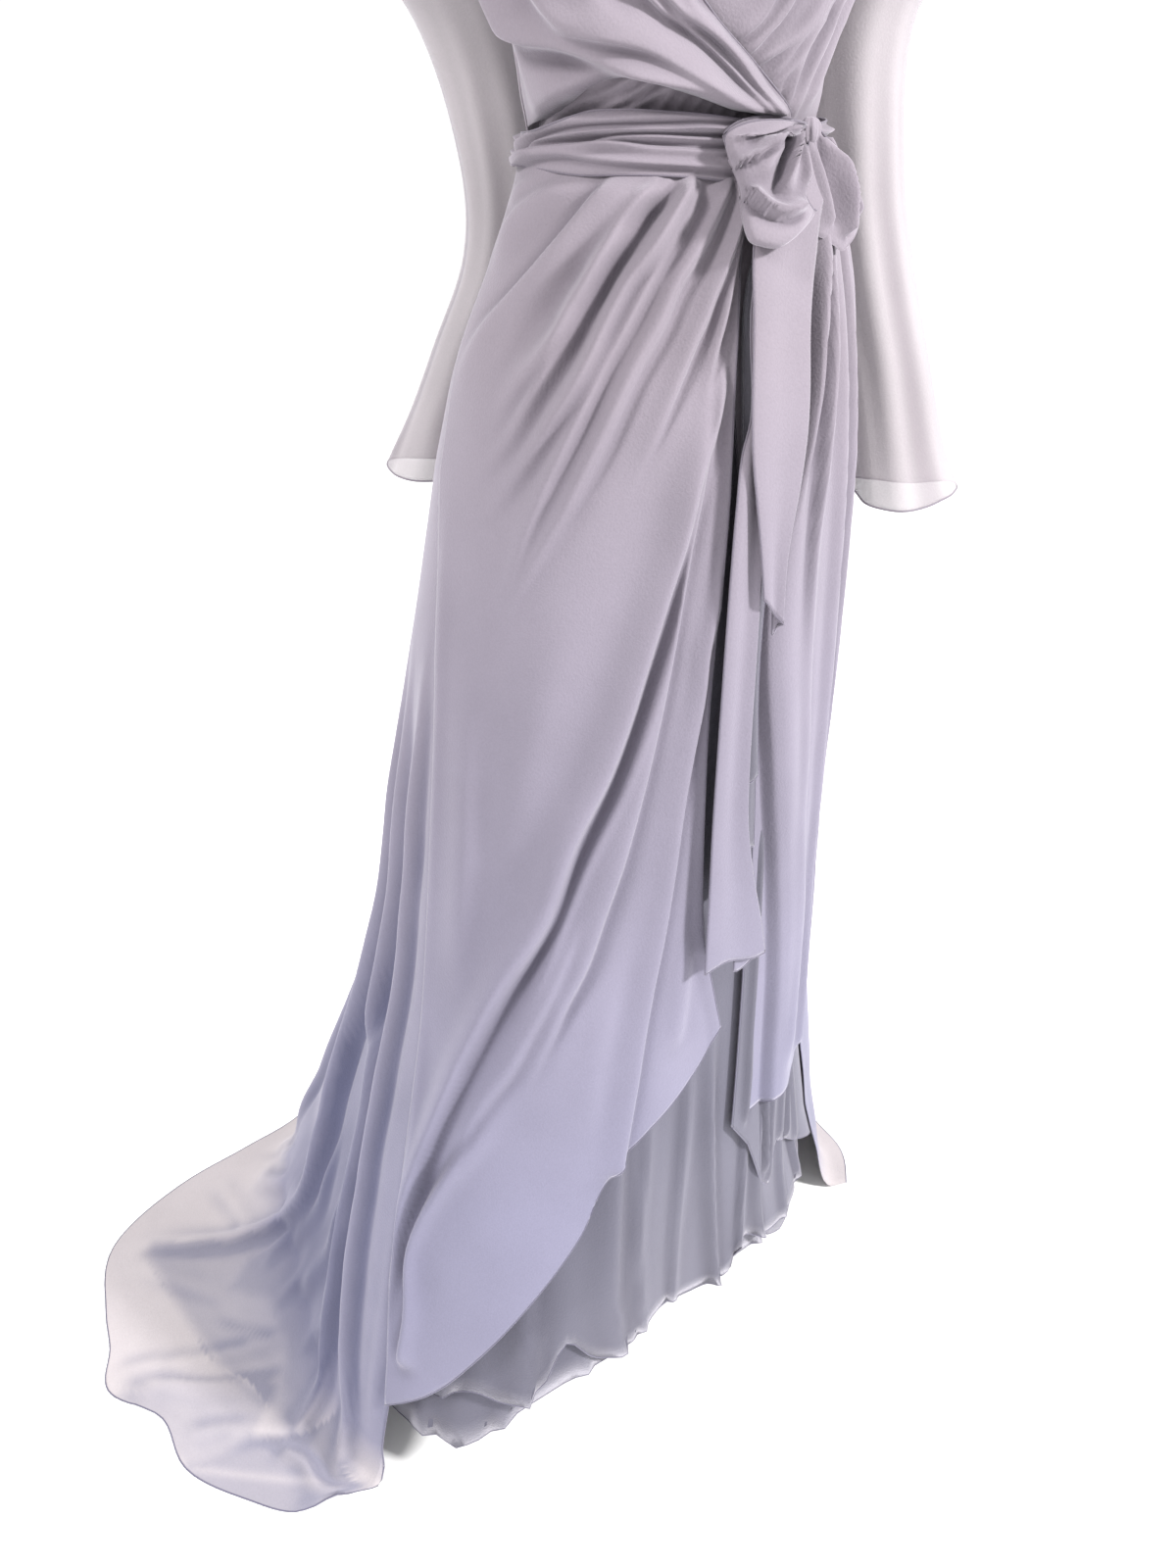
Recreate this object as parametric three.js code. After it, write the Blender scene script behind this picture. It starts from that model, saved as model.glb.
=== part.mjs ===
// A long-sleeved chiffon wrap dress to the floor with a swept train, in its worn form and hollow.
// Millimetres, +Z up. The front faces -Y and the wearer's left is +X.
// A turn is in degrees round the upright body axis: 0 front, 90 left, 180 back, -90 right.
// A height is above the floor. The origin is on the body axis, level with the shoulders.
import * as THREE from "three";

const SHOULDER_HEIGHT = 1420;
const NECK_HEIGHT = 1452;
const WAIST_HEIGHT = 1082;
const UNDERARM_HEIGHT = 1290;
const SHOULDER_TIP_HEIGHT = 1408;
const FLOOR_START_HEIGHT = 60;
const CLOTH = 1.4;
const SEAM_GAP = 0.3;
const LAYER_GAP = 0.8;
const LAYER = CLOTH + LAYER_GAP;
const LEFT_SEAM_TURN = 98;
const ROW_SPREAD = 1.45; // rows lie closer together near the waist

// Half widths of the body sheath that every panel is cut over. Each row is a height, then one half width for
// each of these directions.
const SHEATH_COLUMNS = ["front", "frontLeft", "left", "backLeft", "back", "backRight", "right", "frontRight"];
const SHEATH = [
  [1455, 62, 62, 66, 66, 66, 66, 66, 62],
  [1440, 72, 76, 100, 84, 76, 84, 100, 76],
  [1425, 82, 92, 138, 100, 84, 100, 138, 92],
  [1400, 94, 113, 166, 118, 92, 118, 166, 113],
  [1360, 106, 128, 166, 126, 99, 126, 166, 128],
  [1320, 118, 140, 156, 125, 102, 125, 156, 140],
  [1270, 128, 147, 147, 120, 102, 120, 149, 148],
  [1210, 120, 130, 126, 110, 97, 112, 134, 136],
  [1150, 98, 104, 103, 100, 91, 102, 114, 110],
  [1110, 87, 94, 98, 94, 88, 95, 106, 97],
  [1080, 84, 91, 97, 93, 87, 94, 104, 94],
  [1010, 106, 113, 121, 122, 120, 124, 128, 117],
  [950, 120, 127, 131, 140, 146, 150, 155, 138],
  [880, 130, 134, 139, 152, 162, 168, 175, 155],
  [750, 142, 139, 142, 168, 186, 198, 199, 180],
  [600, 152, 141, 143, 190, 218, 234, 223, 208],
  [450, 160, 145, 149, 216, 256, 280, 250, 240],
  [300, 164, 148, 160, 246, 305, 335, 292, 282],
  [150, 162, 149, 182, 280, 365, 405, 342, 326],
  [60, 160, 150, 203, 300, 405, 440, 362, 347],
].map(([height, ...widths]) => ({ height, widths }));

// How far the train reaches over the floor from the body axis.
const TRAIN_REACH = [
  { turn: 98, reach: 262 }, { turn: 108, reach: 288 }, { turn: 120, reach: 300 },
  { turn: 140, reach: 352 }, { turn: 165, reach: 412 }, { turn: 190, reach: 452 },
  { turn: 215, reach: 470 }, { turn: 232, reach: 468 }, { turn: 241, reach: 500 },
  { turn: 249, reach: 548 }, { turn: 258, reach: 588 }, { turn: 266, reach: 574 },
  { turn: 271, reach: 562 }, { turn: 276, reach: 560 }, { turn: 281, reach: 512 },
  { turn: 288, reach: 500 }, { turn: 295, reach: 462 }, { turn: 300, reach: 440 },
  { turn: 303, reach: 396 }, { turn: 306, reach: 372 },
];

// Vertical folds of the back skirt that run out into the train.
const TRAIN_FOLDS = [
  { turn: 112, width: 7, depth: 10 }, { turn: 128, width: 8, depth: 13 },
  { turn: 146, width: 9, depth: 11 }, { turn: 163, width: 8, depth: 15 },
  { turn: 180, width: 9, depth: 13 }, { turn: 197, width: 8, depth: 15 },
  { turn: 214, width: 8, depth: 11 }, { turn: 229, width: 7, depth: 15 },
  { turn: 243, width: 7, depth: 13 }, { turn: 257, width: 6, depth: 15 },
  { turn: 269, width: 5, depth: 11 }, { turn: 280, width: 5, depth: 15 },
  { turn: 290, width: 4, depth: 13 }, { turn: 298, width: 3.5, depth: 11 },
];

// Edges of the right skirt front: its side seam and its leading edge, as turns at heights.
const RIGHT_SEAM = [
  { height: 1080, turn: -92 }, { height: 930, turn: -86 }, { height: 732, turn: -72 },
  { height: 490, turn: -65 }, { height: 236, turn: -58 }, { height: 100, turn: -54 },
];
const RIGHT_LEAD = [
  { height: 1080, turn: 22 }, { height: 1055, turn: 13 }, { height: 983, turn: 6 },
  { height: 844, turn: 2 }, { height: 711, turn: -2 }, { height: 561, turn: -2 }, { height: 495, turn: 2 },
  { height: 446, turn: 6 },
];
const RIGHT_PETAL_HEM = [
  { turn: -54, height: 112 }, { turn: -46, height: 146 }, { turn: -40, height: 184 },
  { turn: -33, height: 234 }, { turn: -25, height: 294 }, { turn: -21, height: 338 },
  { turn: -14, height: 369 }, { turn: -4, height: 398 }, { turn: 1, height: 417 },
  { turn: 6, height: 446 },
];
// Draped folds of the right front, placed across the panel from seam (0) to leading edge (1).
const RIGHT_DRAPES = [
  { across: 0.07, width: 0.035, depth: 6 }, { across: 0.17, width: 0.03, depth: 5 },
  { across: 0.28, width: 0.035, depth: 7 }, { across: 0.4, width: 0.035, depth: 6 },
  { across: 0.52, width: 0.03, depth: 7 }, { across: 0.62, width: 0.028, depth: 6 },
  { across: 0.72, width: 0.03, depth: 7 }, { across: 0.82, width: 0.026, depth: 6 },
  { across: 0.92, width: 0.026, depth: 6 },
];
const DRAPE_FAN = 5;

// The left skirt front: leading edge, the ridge that stands beside it, and the petal hem.
const LEFT_LEAD = [
  { height: 1080, turn: -20 }, { height: 1000, turn: 2 }, { height: 900, turn: 10 },
  { height: 600, turn: 14 }, { height: 500, turn: 18 }, { height: 309, turn: 19.5 },
];
const LEFT_RIDGE = [
  { height: 1080, turn: 40, crest: 0 }, { height: 1054, turn: 36, crest: 0 },
  { height: 1026, turn: 33, crest: 8 }, { height: 940, turn: 28, crest: 7 },
  { height: 865, turn: 23, crest: 5 }, { height: 811, turn: 20, crest: 4 },
  { height: 745, turn: 20.5, crest: 4 }, { height: 644, turn: 26, crest: 4 },
  { height: 503, turn: 34, crest: 4 }, { height: 309, turn: 38, crest: 3 },
];
const RIDGE_SHARE = 0.35; // the share of the columns that lie before the ridge
const LEFT_PETAL_HEM = [
  { turn: 19, height: 309 }, { turn: 28, height: 306 }, { turn: 44, height: 307 },
  { turn: 60, height: 318 }, { turn: 75, height: 338 }, { turn: 98, height: 372 },
];
const LEFT_UNDER_HEM = [
  { turn: 20, height: 300 }, { turn: 31, height: 258 }, { turn: 43, height: 186 },
  { turn: 50, height: 168 }, { turn: 57, height: 214 }, { turn: 73, height: 178 },
  { turn: 98, height: 104 },
];
const LEFT_FOLDS = [
  { turn: 46, width: 6, depth: 4 }, { turn: 60, width: 6, depth: 3.5 }, { turn: 73, width: 5, depth: 4 },
  { turn: 86, width: 5, depth: 3.5 },
];

// Hems of the two under layers, as heights at turns round the whole dress.
const MID_HEM = [
  { turn: -180, height: 96 }, { turn: -150, height: 110 }, { turn: -120, height: 98 },
  { turn: -90, height: 112 }, { turn: -60, height: 118 }, { turn: -50, height: 125 },
  { turn: -42, height: 136 }, { turn: -36, height: 120 }, { turn: -31, height: 122 },
  { turn: -27, height: 162 }, { turn: -21, height: 124 }, { turn: -13, height: 100 },
  { turn: -3, height: 100 }, { turn: 12, height: 76 }, { turn: 30, height: 70 }, { turn: 37, height: 112 },
  { turn: 57, height: 80 }, { turn: 80, height: 72 }, { turn: 110, height: 96 },
  { turn: 145, height: 104 }, { turn: 180, height: 96 },
];
const INNER_HEM = [
  { turn: -180, height: 52 }, { turn: -120, height: 58 }, { turn: -75, height: 66 },
  { turn: -50, height: 68 }, { turn: -44, height: 59 }, { turn: -38, height: 77 },
  { turn: -33, height: 98 }, { turn: -24, height: 106 }, { turn: -13, height: 88 },
  { turn: 0, height: 78 }, { turn: 20, height: 62 }, { turn: 40, height: 74 }, { turn: 70, height: 58 },
  { turn: 120, height: 60 }, { turn: 180, height: 52 },
];

// Edges of the two bodice fronts. The right one wraps over and ends at the knot.
const OVER_LEAD = [
  { height: 1100, turn: 35 }, { height: 1125, turn: 14 }, { height: 1153, turn: -7 },
  { height: 1190, turn: -22 }, { height: 1240, turn: -35 }, { height: 1300, turn: -46 },
  { height: 1360, turn: -56 }, { height: 1410, turn: -67 }, { height: 1440, turn: -77 },
  { height: NECK_HEIGHT, turn: -82 },
];
const UNDER_LEAD = [
  { height: WAIST_HEIGHT, turn: -84 }, { height: 1105, turn: -70 }, { height: 1130, turn: -38 },
  { height: 1160, turn: -8 }, { height: 1190, turn: 14 }, { height: 1240, turn: 33 },
  { height: 1300, turn: 46 }, { height: 1360, turn: 56 }, { height: 1410, turn: 67 },
  { height: 1440, turn: 77 }, { height: NECK_HEIGHT, turn: 82 },
];
const OVERLAP_STAND = 2.1;
const GATHER_CLEAR = 8;
const GATHER_FADE = 30;
const BLOUSON_EDGE = [
  { turn: -89, height: 1104 }, { turn: -50, height: 1107 }, { turn: -20, height: 1118 },
  { turn: 0, height: 1114 }, { turn: 20, height: 1107 }, { turn: 35, height: 1100 },
];
// How far the armhole is cut in from the side line, as an angle.
const ARMHOLE = [
  { height: UNDERARM_HEIGHT, cut: 0 }, { height: 1310, cut: 17 }, { height: 1345, cut: 25 },
  { height: 1380, cut: 21 }, { height: SHOULDER_TIP_HEIGHT, cut: 0 },
];

// Sleeve sections from the upper arm to the cuff: centre, half width along X and half depth along Y.
const RIGHT_SLEEVE = [
  { height: 1290, x: -197, y: 14, wide: 39, deep: 50, join: 0.5 },
  { height: 1230, x: -186, y: 52, wide: 42, deep: 46, join: 0 },
  { height: 1160, x: -122, y: 132, wide: 38, deep: 42, join: 0 },
  { height: 1070, x: -96, y: 150, wide: 34, deep: 36, join: 0 },
  { height: 1000, x: -92, y: 178, wide: 35, deep: 34, join: 0 },
  { height: 930, x: -116, y: 192, wide: 38, deep: 34, join: 0 },
  { height: 870, x: -138, y: 194, wide: 42, deep: 34, join: 0 },
  { height: 828, x: -150, y: 196, wide: 50, deep: 38, join: 0 },
];
const LEFT_SLEEVE = [
  { height: 1290, x: 197, y: 14, wide: 39, deep: 50, join: 0.5 },
  { height: 1230, x: 184, y: 50, wide: 42, deep: 46, join: 0 },
  { height: 1160, x: 156, y: 82, wide: 40, deep: 44, join: 0 },
  { height: 1070, x: 158, y: 74, wide: 38, deep: 42, join: 0 },
  { height: 1000, x: 172, y: 68, wide: 38, deep: 42, join: 0 },
  { height: 930, x: 188, y: 52, wide: 38, deep: 42, join: 0 },
  { height: 870, x: 198, y: 34, wide: 41, deep: 42, join: 0 },
  { height: 832, x: 206, y: 24, wide: 48, deep: 46, join: 0 },
];
const ARMHOLE_LAP = 0.8; // degrees that the sleeve's cap lies inside the armhole's edge
const SLEEVE_STAND = -1.45;
const SLEEVE_COLUMNS = 16;
const SLEEVE_ROWS = 13;
const SLEEVE_FOLDS = 4;
const SLEEVE_FOLD_DEPTH = 2.5;

// The sash lies round the waist in crossing pleats. The bow is tied at its knot.
const SASH_LOW = 1063;
const SASH_HIGH = 1100;
const SASH_PLEATS = 3;
const SASH_PLEAT_DEPTH = 2.2;
const KNOT_TURN = 40;
const KNOT_HEIGHT = 1091;
const KNOT_SIZE = { wide: 8, deep: 6, tall: 8 };
const KNOT_STAND = 12.4;
const SHORT_TAIL = [
  { height: 1079.4, from: 37, to: 43, stand: 15 }, { height: 1060, from: 20, to: 44, stand: 17.4 },
  { height: 1028, from: 10, to: 34, stand: 17.8 }, { height: 983, from: 8, to: 27, stand: 17.8 },
  { height: 912, from: 7, to: 24.5, stand: 17.8 }, { height: 843, from: 10, to: 19, stand: 18 },
  { height: 800, from: 11.5, to: 17.8, stand: 18 },
];
const LONG_TAIL = [
  { height: 1079.4, from: 38, to: 42, stand: 12 }, { height: 1060, from: 24, to: 40, stand: 12 },
  { height: 1000, from: 9.5, to: 24, stand: 12 }, { height: 931, from: 8, to: 20, stand: 12 },
  { height: 880, from: 5, to: 16, stand: 12 }, { height: 753, from: 2.5, to: 12, stand: 13 },
  { height: 661, from: 1.5, to: 13.5, stand: 14 }, { height: 571, from: 0.3, to: 17, stand: 16 },
  { height: 520, from: -1, to: 21, stand: 19 },
];
const CASCADE = [
  { height: 1054, from: 26, to: 36, stand: 0.2 }, { height: 1000, from: 10, to: 26, stand: 0.2 },
  { height: 900, from: 9, to: 22, stand: -4 }, { height: 760, from: 9, to: 16.5, stand: -5 },
  { height: 650, from: 9, to: 22, stand: -5 }, { height: 570, from: 11, to: 23.5, stand: -4.5 },
];
// Bow loops: soft pouches open at both sides, each row one section across the ribbon. The lean carries its top
// inwards.
const FRONT_LOOP = [
  { slide: -41, low: 1066, high: 1088, stand: 22, lean: 3, bulge: 4.5 },
  { slide: -33, low: 1034, high: 1094, stand: 26, lean: 6, bulge: 11 },
  { slide: -21, low: 1027, high: 1097, stand: 28, lean: 8, bulge: 14 },
  { slide: -9, low: 1027, high: 1096, stand: 27.4, lean: 11.2, bulge: 12.4 },
  { slide: 3, low: 1034, high: 1077, stand: 33.4, lean: 6, bulge: 8 },
  { slide: 13, low: 1042, high: 1064, stand: 32.4, lean: 3, bulge: 5 },
];
const SIDE_LOOP = [
  { slide: 7.6, low: 1074, high: 1096, stand: 12.5, lean: 0, bulge: 4.5 },
  { slide: 20, low: 1040, high: 1086, stand: 17, lean: 1, bulge: 7 },
  { slide: 31, low: 1030, high: 1078, stand: 17, lean: 1, bulge: 8 },
  { slide: 41, low: 1038, high: 1058, stand: 14, lean: 0, bulge: 4.5 },
];

function chiffon(color) {
  return new THREE.MeshStandardMaterial({ color, roughness: 0.72, metalness: 0, side: THREE.DoubleSide });
}

const LILAC = chiffon(0xada5b8);
const SHEER = chiffon(0xc9c1c8);
const UNDER = chiffon(0x9d97aa);

const lerp = THREE.MathUtils.lerp;
const radians = THREE.MathUtils.degToRad;
const smooth = (t) => THREE.MathUtils.smoothstep(t, 0, 1);

// Reads a table at a key value, straight between rows and held at its ends.
function lookUp(table, key, at, column) {
  const rows = [...table].sort((a, b) => a[key] - b[key]);
  const next = rows.findIndex((row) => row[key] >= at);
  if (next === 0) return rows[0][column];
  if (next < 0) return rows[rows.length - 1][column];
  const low = rows[next - 1];
  const high = rows[next];
  return lerp(low[column], high[column], (at - low[key]) / (high[key] - low[key]));
}

// A smooth curve through four values, at t between the middle two.
function throughFour(a, b, c, d, t) {
  return 0.5 * (2 * b + (c - a) * t + (2 * a - 5 * b + 4 * c - d) * t * t + (3 * b - a - 3 * c + d) * t ** 3);
}

// The sheath's half width at one turn in one row.
function widthInRow(row, turn) {
  const count = SHEATH_COLUMNS.length;
  const step = 360 / count;
  const place = (((turn % 360) + 360) % 360) / step;
  const first = Math.floor(place);
  const [a, b, c, d] = [-1, 0, 1, 2].map((k) => row.widths[(first + k + count) % count]);
  return throughFour(a, b, c, d, place - first);
}

// The sheath's half width at a turn and a height.
function sheathWidth(turn, height) {
  const last = SHEATH.length - 1;
  const below = SHEATH.findIndex((row) => row.height <= height);
  const k = THREE.MathUtils.clamp(below < 0 ? last : below, 1, last);
  const inRow = (n) => widthInRow(SHEATH[THREE.MathUtils.clamp(n, 0, last)], turn);
  const t = (SHEATH[k - 1].height - height) / (SHEATH[k - 1].height - SHEATH[k].height);
  return throughFour(inRow(k - 2), inRow(k - 1), inRow(k), inRow(k + 1), THREE.MathUtils.clamp(t, 0, 1));
}

function atTurn(turn, width, height) {
  return new THREE.Vector3(width * Math.sin(radians(turn)), -width * Math.cos(radians(turn)), height);
}

// A point of the sheath. Heights under FLOOR_START_HEIGHT run out over the floor as the train.
function sheathPoint(turn, height) {
  if (height >= FLOOR_START_HEIGHT) return atTurn(turn, sheathWidth(turn, height), height);
  const share = 1 - height / FLOOR_START_HEIGHT;
  const start = sheathWidth(turn, FLOOR_START_HEIGHT);
  const reach = Math.max(lookUp(TRAIN_REACH, "turn", turn < 0 ? turn + 360 : turn, "reach"), start + 2);
  return atTurn(turn, lerp(start, reach, share), FLOOR_START_HEIGHT * (1 - share) ** 4);
}

// The outward direction of the sheath at a point.
function sheathNormal(turn, height) {
  const [dTurn, dHeight] = [0.5, 2];
  const low = Math.max(height - dHeight, 0);
  const across = sheathPoint(turn + dTurn, height).sub(sheathPoint(turn - dTurn, height));
  const up = sheathPoint(turn, height + dHeight).sub(sheathPoint(turn, low));
  return across.cross(up).normalize();
}

// A point moved out from the sheath, where panels, their folds and their layers lie.
function onSheath(turn, height, out) {
  return sheathPoint(turn, height).addScaledVector(sheathNormal(turn, height), out);
}

// A closed wall from two grids of points, its outer and its inner face. A round grid joins its last column to
// its first. Both faces share their diagonals, so that a twisted wall keeps its thickness.
function wallMesh(name, outer, inner, round, material) {
  const rows = outer.length;
  const columns = outer[0].length;
  const size = rows * columns;
  const points = [...outer.flat(), ...inner.flat()].flatMap((p) => [p.x, p.y, p.z]);
  const index = [];
  const quad = (a, b, c, d) => index.push(a, b, c, a, c, d);
  const spans = round ? columns : columns - 1;
  for (let i = 0; i < rows - 1; i++) {
    for (let j = 0; j < spans; j++) {
      const k = (j + 1) % columns;
      const [a, b, c, d] = [i * columns + j, (i + 1) * columns + j, (i + 1) * columns + k, i * columns + k];
      quad(a, b, c, d);
      quad(c + size, b + size, a + size, d + size);
    }
  }
  for (let j = 0; j < spans; j++) {
    const k = (j + 1) % columns;
    const last = (rows - 1) * columns;
    quad(k, k + size, j + size, j);
    quad(last + j, last + j + size, last + k + size, last + k);
  }
  for (let i = 0; !round && i < rows - 1; i++) {
    const [a, b] = [i * columns, (i + 1) * columns];
    const [c, d] = [a + columns - 1, b + columns - 1];
    quad(a, a + size, b + size, b);
    quad(d, d + size, c + size, c);
  }
  const geometry = new THREE.BufferGeometry();
  geometry.setAttribute("position", new THREE.Float32BufferAttribute(points, 3));
  geometry.setIndex(index);
  geometry.computeVertexNormals();
  const mesh = new THREE.Mesh(geometry, material);
  mesh.name = name;
  return mesh;
}

// A panel over the sheath. place(across, down) gives the turn, height and stand-off of its outer face.
function panel(name, rows, columns, place, material, round = false) {
  const grid = [];
  const lining = [];
  for (let i = 0; i <= rows; i++) {
    const count = round ? columns : columns + 1;
    const places = Array.from({ length: count }, (_, j) => place(j / columns, i / rows));
    grid.push(places.map((p) => onSheath(p.turn, p.height, p.out)));
    lining.push(places.map((p) => onSheath(p.turn, p.height, p.out - CLOTH)));
  }
  return wallMesh(name, grid, lining, round, material);
}

// The height of soft ridges at a place, from a table of ridges.
function ridges(table, key, at) {
  return table.reduce((sum, fold) => sum + fold.depth * Math.exp(-(((at - fold[key]) / fold.width) ** 2)), 0);
}

// A half seam's width as an angle at a place, so that neighbours stay SEAM_GAP apart.
function seamTurn(height) {
  return (SEAM_GAP / 2 / sheathWidth(0, Math.max(height, FLOOR_START_HEIGHT))) * (180 / Math.PI) * 1.6;
}

// How open the layers are below the waist, from 0 at the seam to 1.
function loosen(height) {
  return smooth((WAIST_HEIGHT - 6 - height) / 160);
}

function skirtFrontRight() {
  const [rows, columns] = [14, 36];
  return panel("skirt_front_right", rows, columns, (across, down) => {
    const fanned = 1 - (1 - across) ** DRAPE_FAN;
    const hemTurn = lerp(RIGHT_SEAM.at(-1).turn, RIGHT_LEAD.at(-1).turn, across);
    const hem = lookUp(RIGHT_PETAL_HEM, "turn", hemTurn, "height");
    const height = lerp(WAIST_HEIGHT - SEAM_GAP, hem, down ** ROW_SPREAD);
    const seam = lookUp(RIGHT_SEAM, "height", height, "turn") + seamTurn(height);
    const lead = lookUp(RIGHT_LEAD, "height", height, "turn");
    const open = loosen(height);
    const drape = ridges(RIGHT_DRAPES, "across", across) * open * (0.75 + 0.5 * down);
    return { turn: lerp(seam, lead, lerp(fanned, across, smooth(down))), height, out: drape };
  }, LILAC);
}

function skirtFrontLeft() {
  const [rows, columns] = [13, 20];
  return panel("skirt_front_left", rows, columns, (across, down) => {
    const hemTurn = lerp(LEFT_LEAD.at(-1).turn, LEFT_SEAM_TURN, across);
    const hem = lookUp(LEFT_PETAL_HEM, "turn", hemTurn, "height");
    const height = lerp(WAIST_HEIGHT - SEAM_GAP, hem, down ** ROW_SPREAD);
    const lead = lookUp(LEFT_LEAD, "height", height, "turn");
    const ridge = lookUp(LEFT_RIDGE, "height", height, "turn");
    const seam = LEFT_SEAM_TURN - seamTurn(height);
    const turn = across < RIDGE_SHARE ? lerp(lead, ridge, across / RIDGE_SHARE)
      : lerp(ridge, seam, (across - RIDGE_SHARE) / (1 - RIDGE_SHARE));
    const open = loosen(height);
    const recess = -8 * open * smooth((ridge + 1 - turn) / 4);
    const crest = lookUp(LEFT_RIDGE, "height", height, "crest") * Math.exp(-(((turn - ridge - 7) / 6) ** 2));
    const folds = ridges(LEFT_FOLDS, "turn", turn) * open;
    return { turn, height, out: -LAYER + recess + (crest + folds) * smooth((turn - ridge) / 4) };
  }, LILAC);
}

function skirtLeftUnder() {
  const [rows, columns] = [9, 13];
  const top = WAIST_HEIGHT - 180;
  return panel("skirt_left_under", rows, columns, (across, down) => {
    const turn = lerp(21, LEFT_SEAM_TURN - 1.5, across);
    const height = lerp(top, lookUp(LEFT_UNDER_HEM, "turn", turn, "height"), down);
    const wave = 1.2 * Math.sin(across * Math.PI * 8) * smooth(down);
    return { turn, height, out: -LAYER - 8 - 2 * LAYER_GAP - CLOTH + wave };
  }, UNDER);
}

function skirtBack() {
  const [rows, columns] = [16, 40];
  const firstTurn = LEFT_SEAM_TURN;
  return panel("skirt_back", rows, columns, (across, down) => {
    const onFloor = smooth((down - 0.62) / 0.3);
    const height = down < 0.7 ? lerp(WAIST_HEIGHT - SEAM_GAP, FLOOR_START_HEIGHT, (down / 0.7) ** ROW_SPREAD)
      : FLOOR_START_HEIGHT * (1 - (down - 0.7) / 0.3);
    const seam = 360 + lookUp(RIGHT_SEAM, "height", height, "turn");
    const turn = lerp(firstTurn + seamTurn(height), seam - seamTurn(height), across);
    const open = loosen(height);
    const folds = ridges(TRAIN_FOLDS, "turn", turn) * open * (0.35 + 0.65 * smooth(down * 1.6));
    const standing = -LAYER + folds;
    const lying = CLOTH + 0.8 * folds * (1 - 0.6 * smooth((down - 0.85) / 0.15));
    return { turn, height, out: lerp(standing, lying, onFloor) };
  }, SHEER);
}

// An under layer all round, with soft waves that grow to its hem.
function underskirt(name, rows, columns, depthIn, hemTable, waves, waveDepth) {
  return panel(name, rows, columns, (across, down) => {
    const turn = across * 360 - 180;
    const hem = lookUp(hemTable, "turn", turn, "height");
    const height = lerp(WAIST_HEIGHT - SEAM_GAP, hem, down ** ROW_SPREAD);
    const open = loosen(height);
    const inset = lerp(depthIn.waist, depthIn.hem, open);
    const wave = waveDepth * Math.sin(radians(turn * waves)) * open * down;
    return { turn, height, out: -inset + wave };
  }, UNDER, true);
}

// A hanging strip of the sash, or of the wrap's inner edge, from a table of its edges.
function strip(name, rows, columns, table, hemDrop, pleats, pleatDepth, material) {
  const [top, bottom] = [table[0].height, table.at(-1).height];
  return panel(name, rows, columns, (across, down) => {
    const height = lerp(top, bottom + hemDrop(across), down);
    const from = lookUp(table, "height", height, "from");
    const to = lookUp(table, "height", height, "to");
    const pleat = pleatDepth * Math.sin(across * Math.PI * pleats) * smooth(down * 5);
    return { turn: lerp(from, to, across), height, out: lookUp(table, "height", height, "stand") + pleat };
  }, material);
}

// The side line of a bodice piece at a height: the side seam, then the armhole, then the shoulder seam.
function sideTurn(height) {
  const atArmhole = height > UNDERARM_HEIGHT && height < SHOULDER_TIP_HEIGHT;
  return 90 - (atArmhole ? lookUp(ARMHOLE, "height", height, "cut") : 0);
}

// Row heights of the bodice, closer together over the shoulder.
function bodiceHeight(low, down) {
  return lerp(NECK_HEIGHT, low, down ** 1.25);
}

// Gathers that start at a height, grow over a drop below it and end flat in the waist seam.
function gathers(across, count, depth, startHeight, drop, height) {
  const flatAtWaist = smooth((height - WAIST_HEIGHT - GATHER_CLEAR) / GATHER_FADE);
  return depth * Math.sin(across * Math.PI * count) * smooth((startHeight - height) / drop) * flatAtWaist;
}

function bodiceBack() {
  const [rows, columns] = [12, 14];
  return panel("bodice_back", rows, columns, (across, down) => {
    const height = bodiceHeight(WAIST_HEIGHT + SEAM_GAP, down);
    const cut = 90 - sideTurn(height) + seamTurn(height);
    const turn = lerp(90 + cut, 270 - cut, across);
    const gather = gathers(across, 12, 1.2, 1180, 60, height);
    return { turn, height, out: gather - LAYER };
  }, LILAC);
}

function bodiceFrontLeft() {
  const [rows, columns] = [13, 20];
  return panel("bodice_front_left", rows, columns, (across, down) => {
    const height = bodiceHeight(WAIST_HEIGHT + SEAM_GAP, down);
    const lead = lookUp(UNDER_LEAD, "height", height, "turn");
    const turn = lerp(lead, sideTurn(height) - seamTurn(height), across);
    const gather = gathers(across, 9, 1.1, 1280, 120, height);
    return { turn, height, out: gather - LAYER };
  }, LILAC);
}

function bodiceFrontRight() {
  const [rows, columns] = [13, 22];
  return panel("bodice_front_right", rows, columns, (across, down) => {
    const low = lookUp(BLOUSON_EDGE, "turn", lerp(-89, 35, across), "height");
    const height = bodiceHeight(low, down);
    const lead = lookUp(OVER_LEAD, "height", height, "turn");
    const turn = lerp(-sideTurn(height) + seamTurn(height), lead, across);
    const loose = smooth((1300 - height) / 150);
    const blouse = 9 * loose * Math.sin(Math.PI * across ** 0.8) * smooth((height - low + 12) / 26);
    const pleats = 1.6 * Math.sin(down ** 2 * Math.PI * 7 + across * 5) * loose * (0.3 + across);
    const raised = smooth((across - 0.03) / 0.15);
    return { turn, height, out: lerp(-LAYER, OVERLAP_STAND, raised) + Math.max(blouse + pleats, 0) * raised };
  }, LILAC);
}

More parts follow.
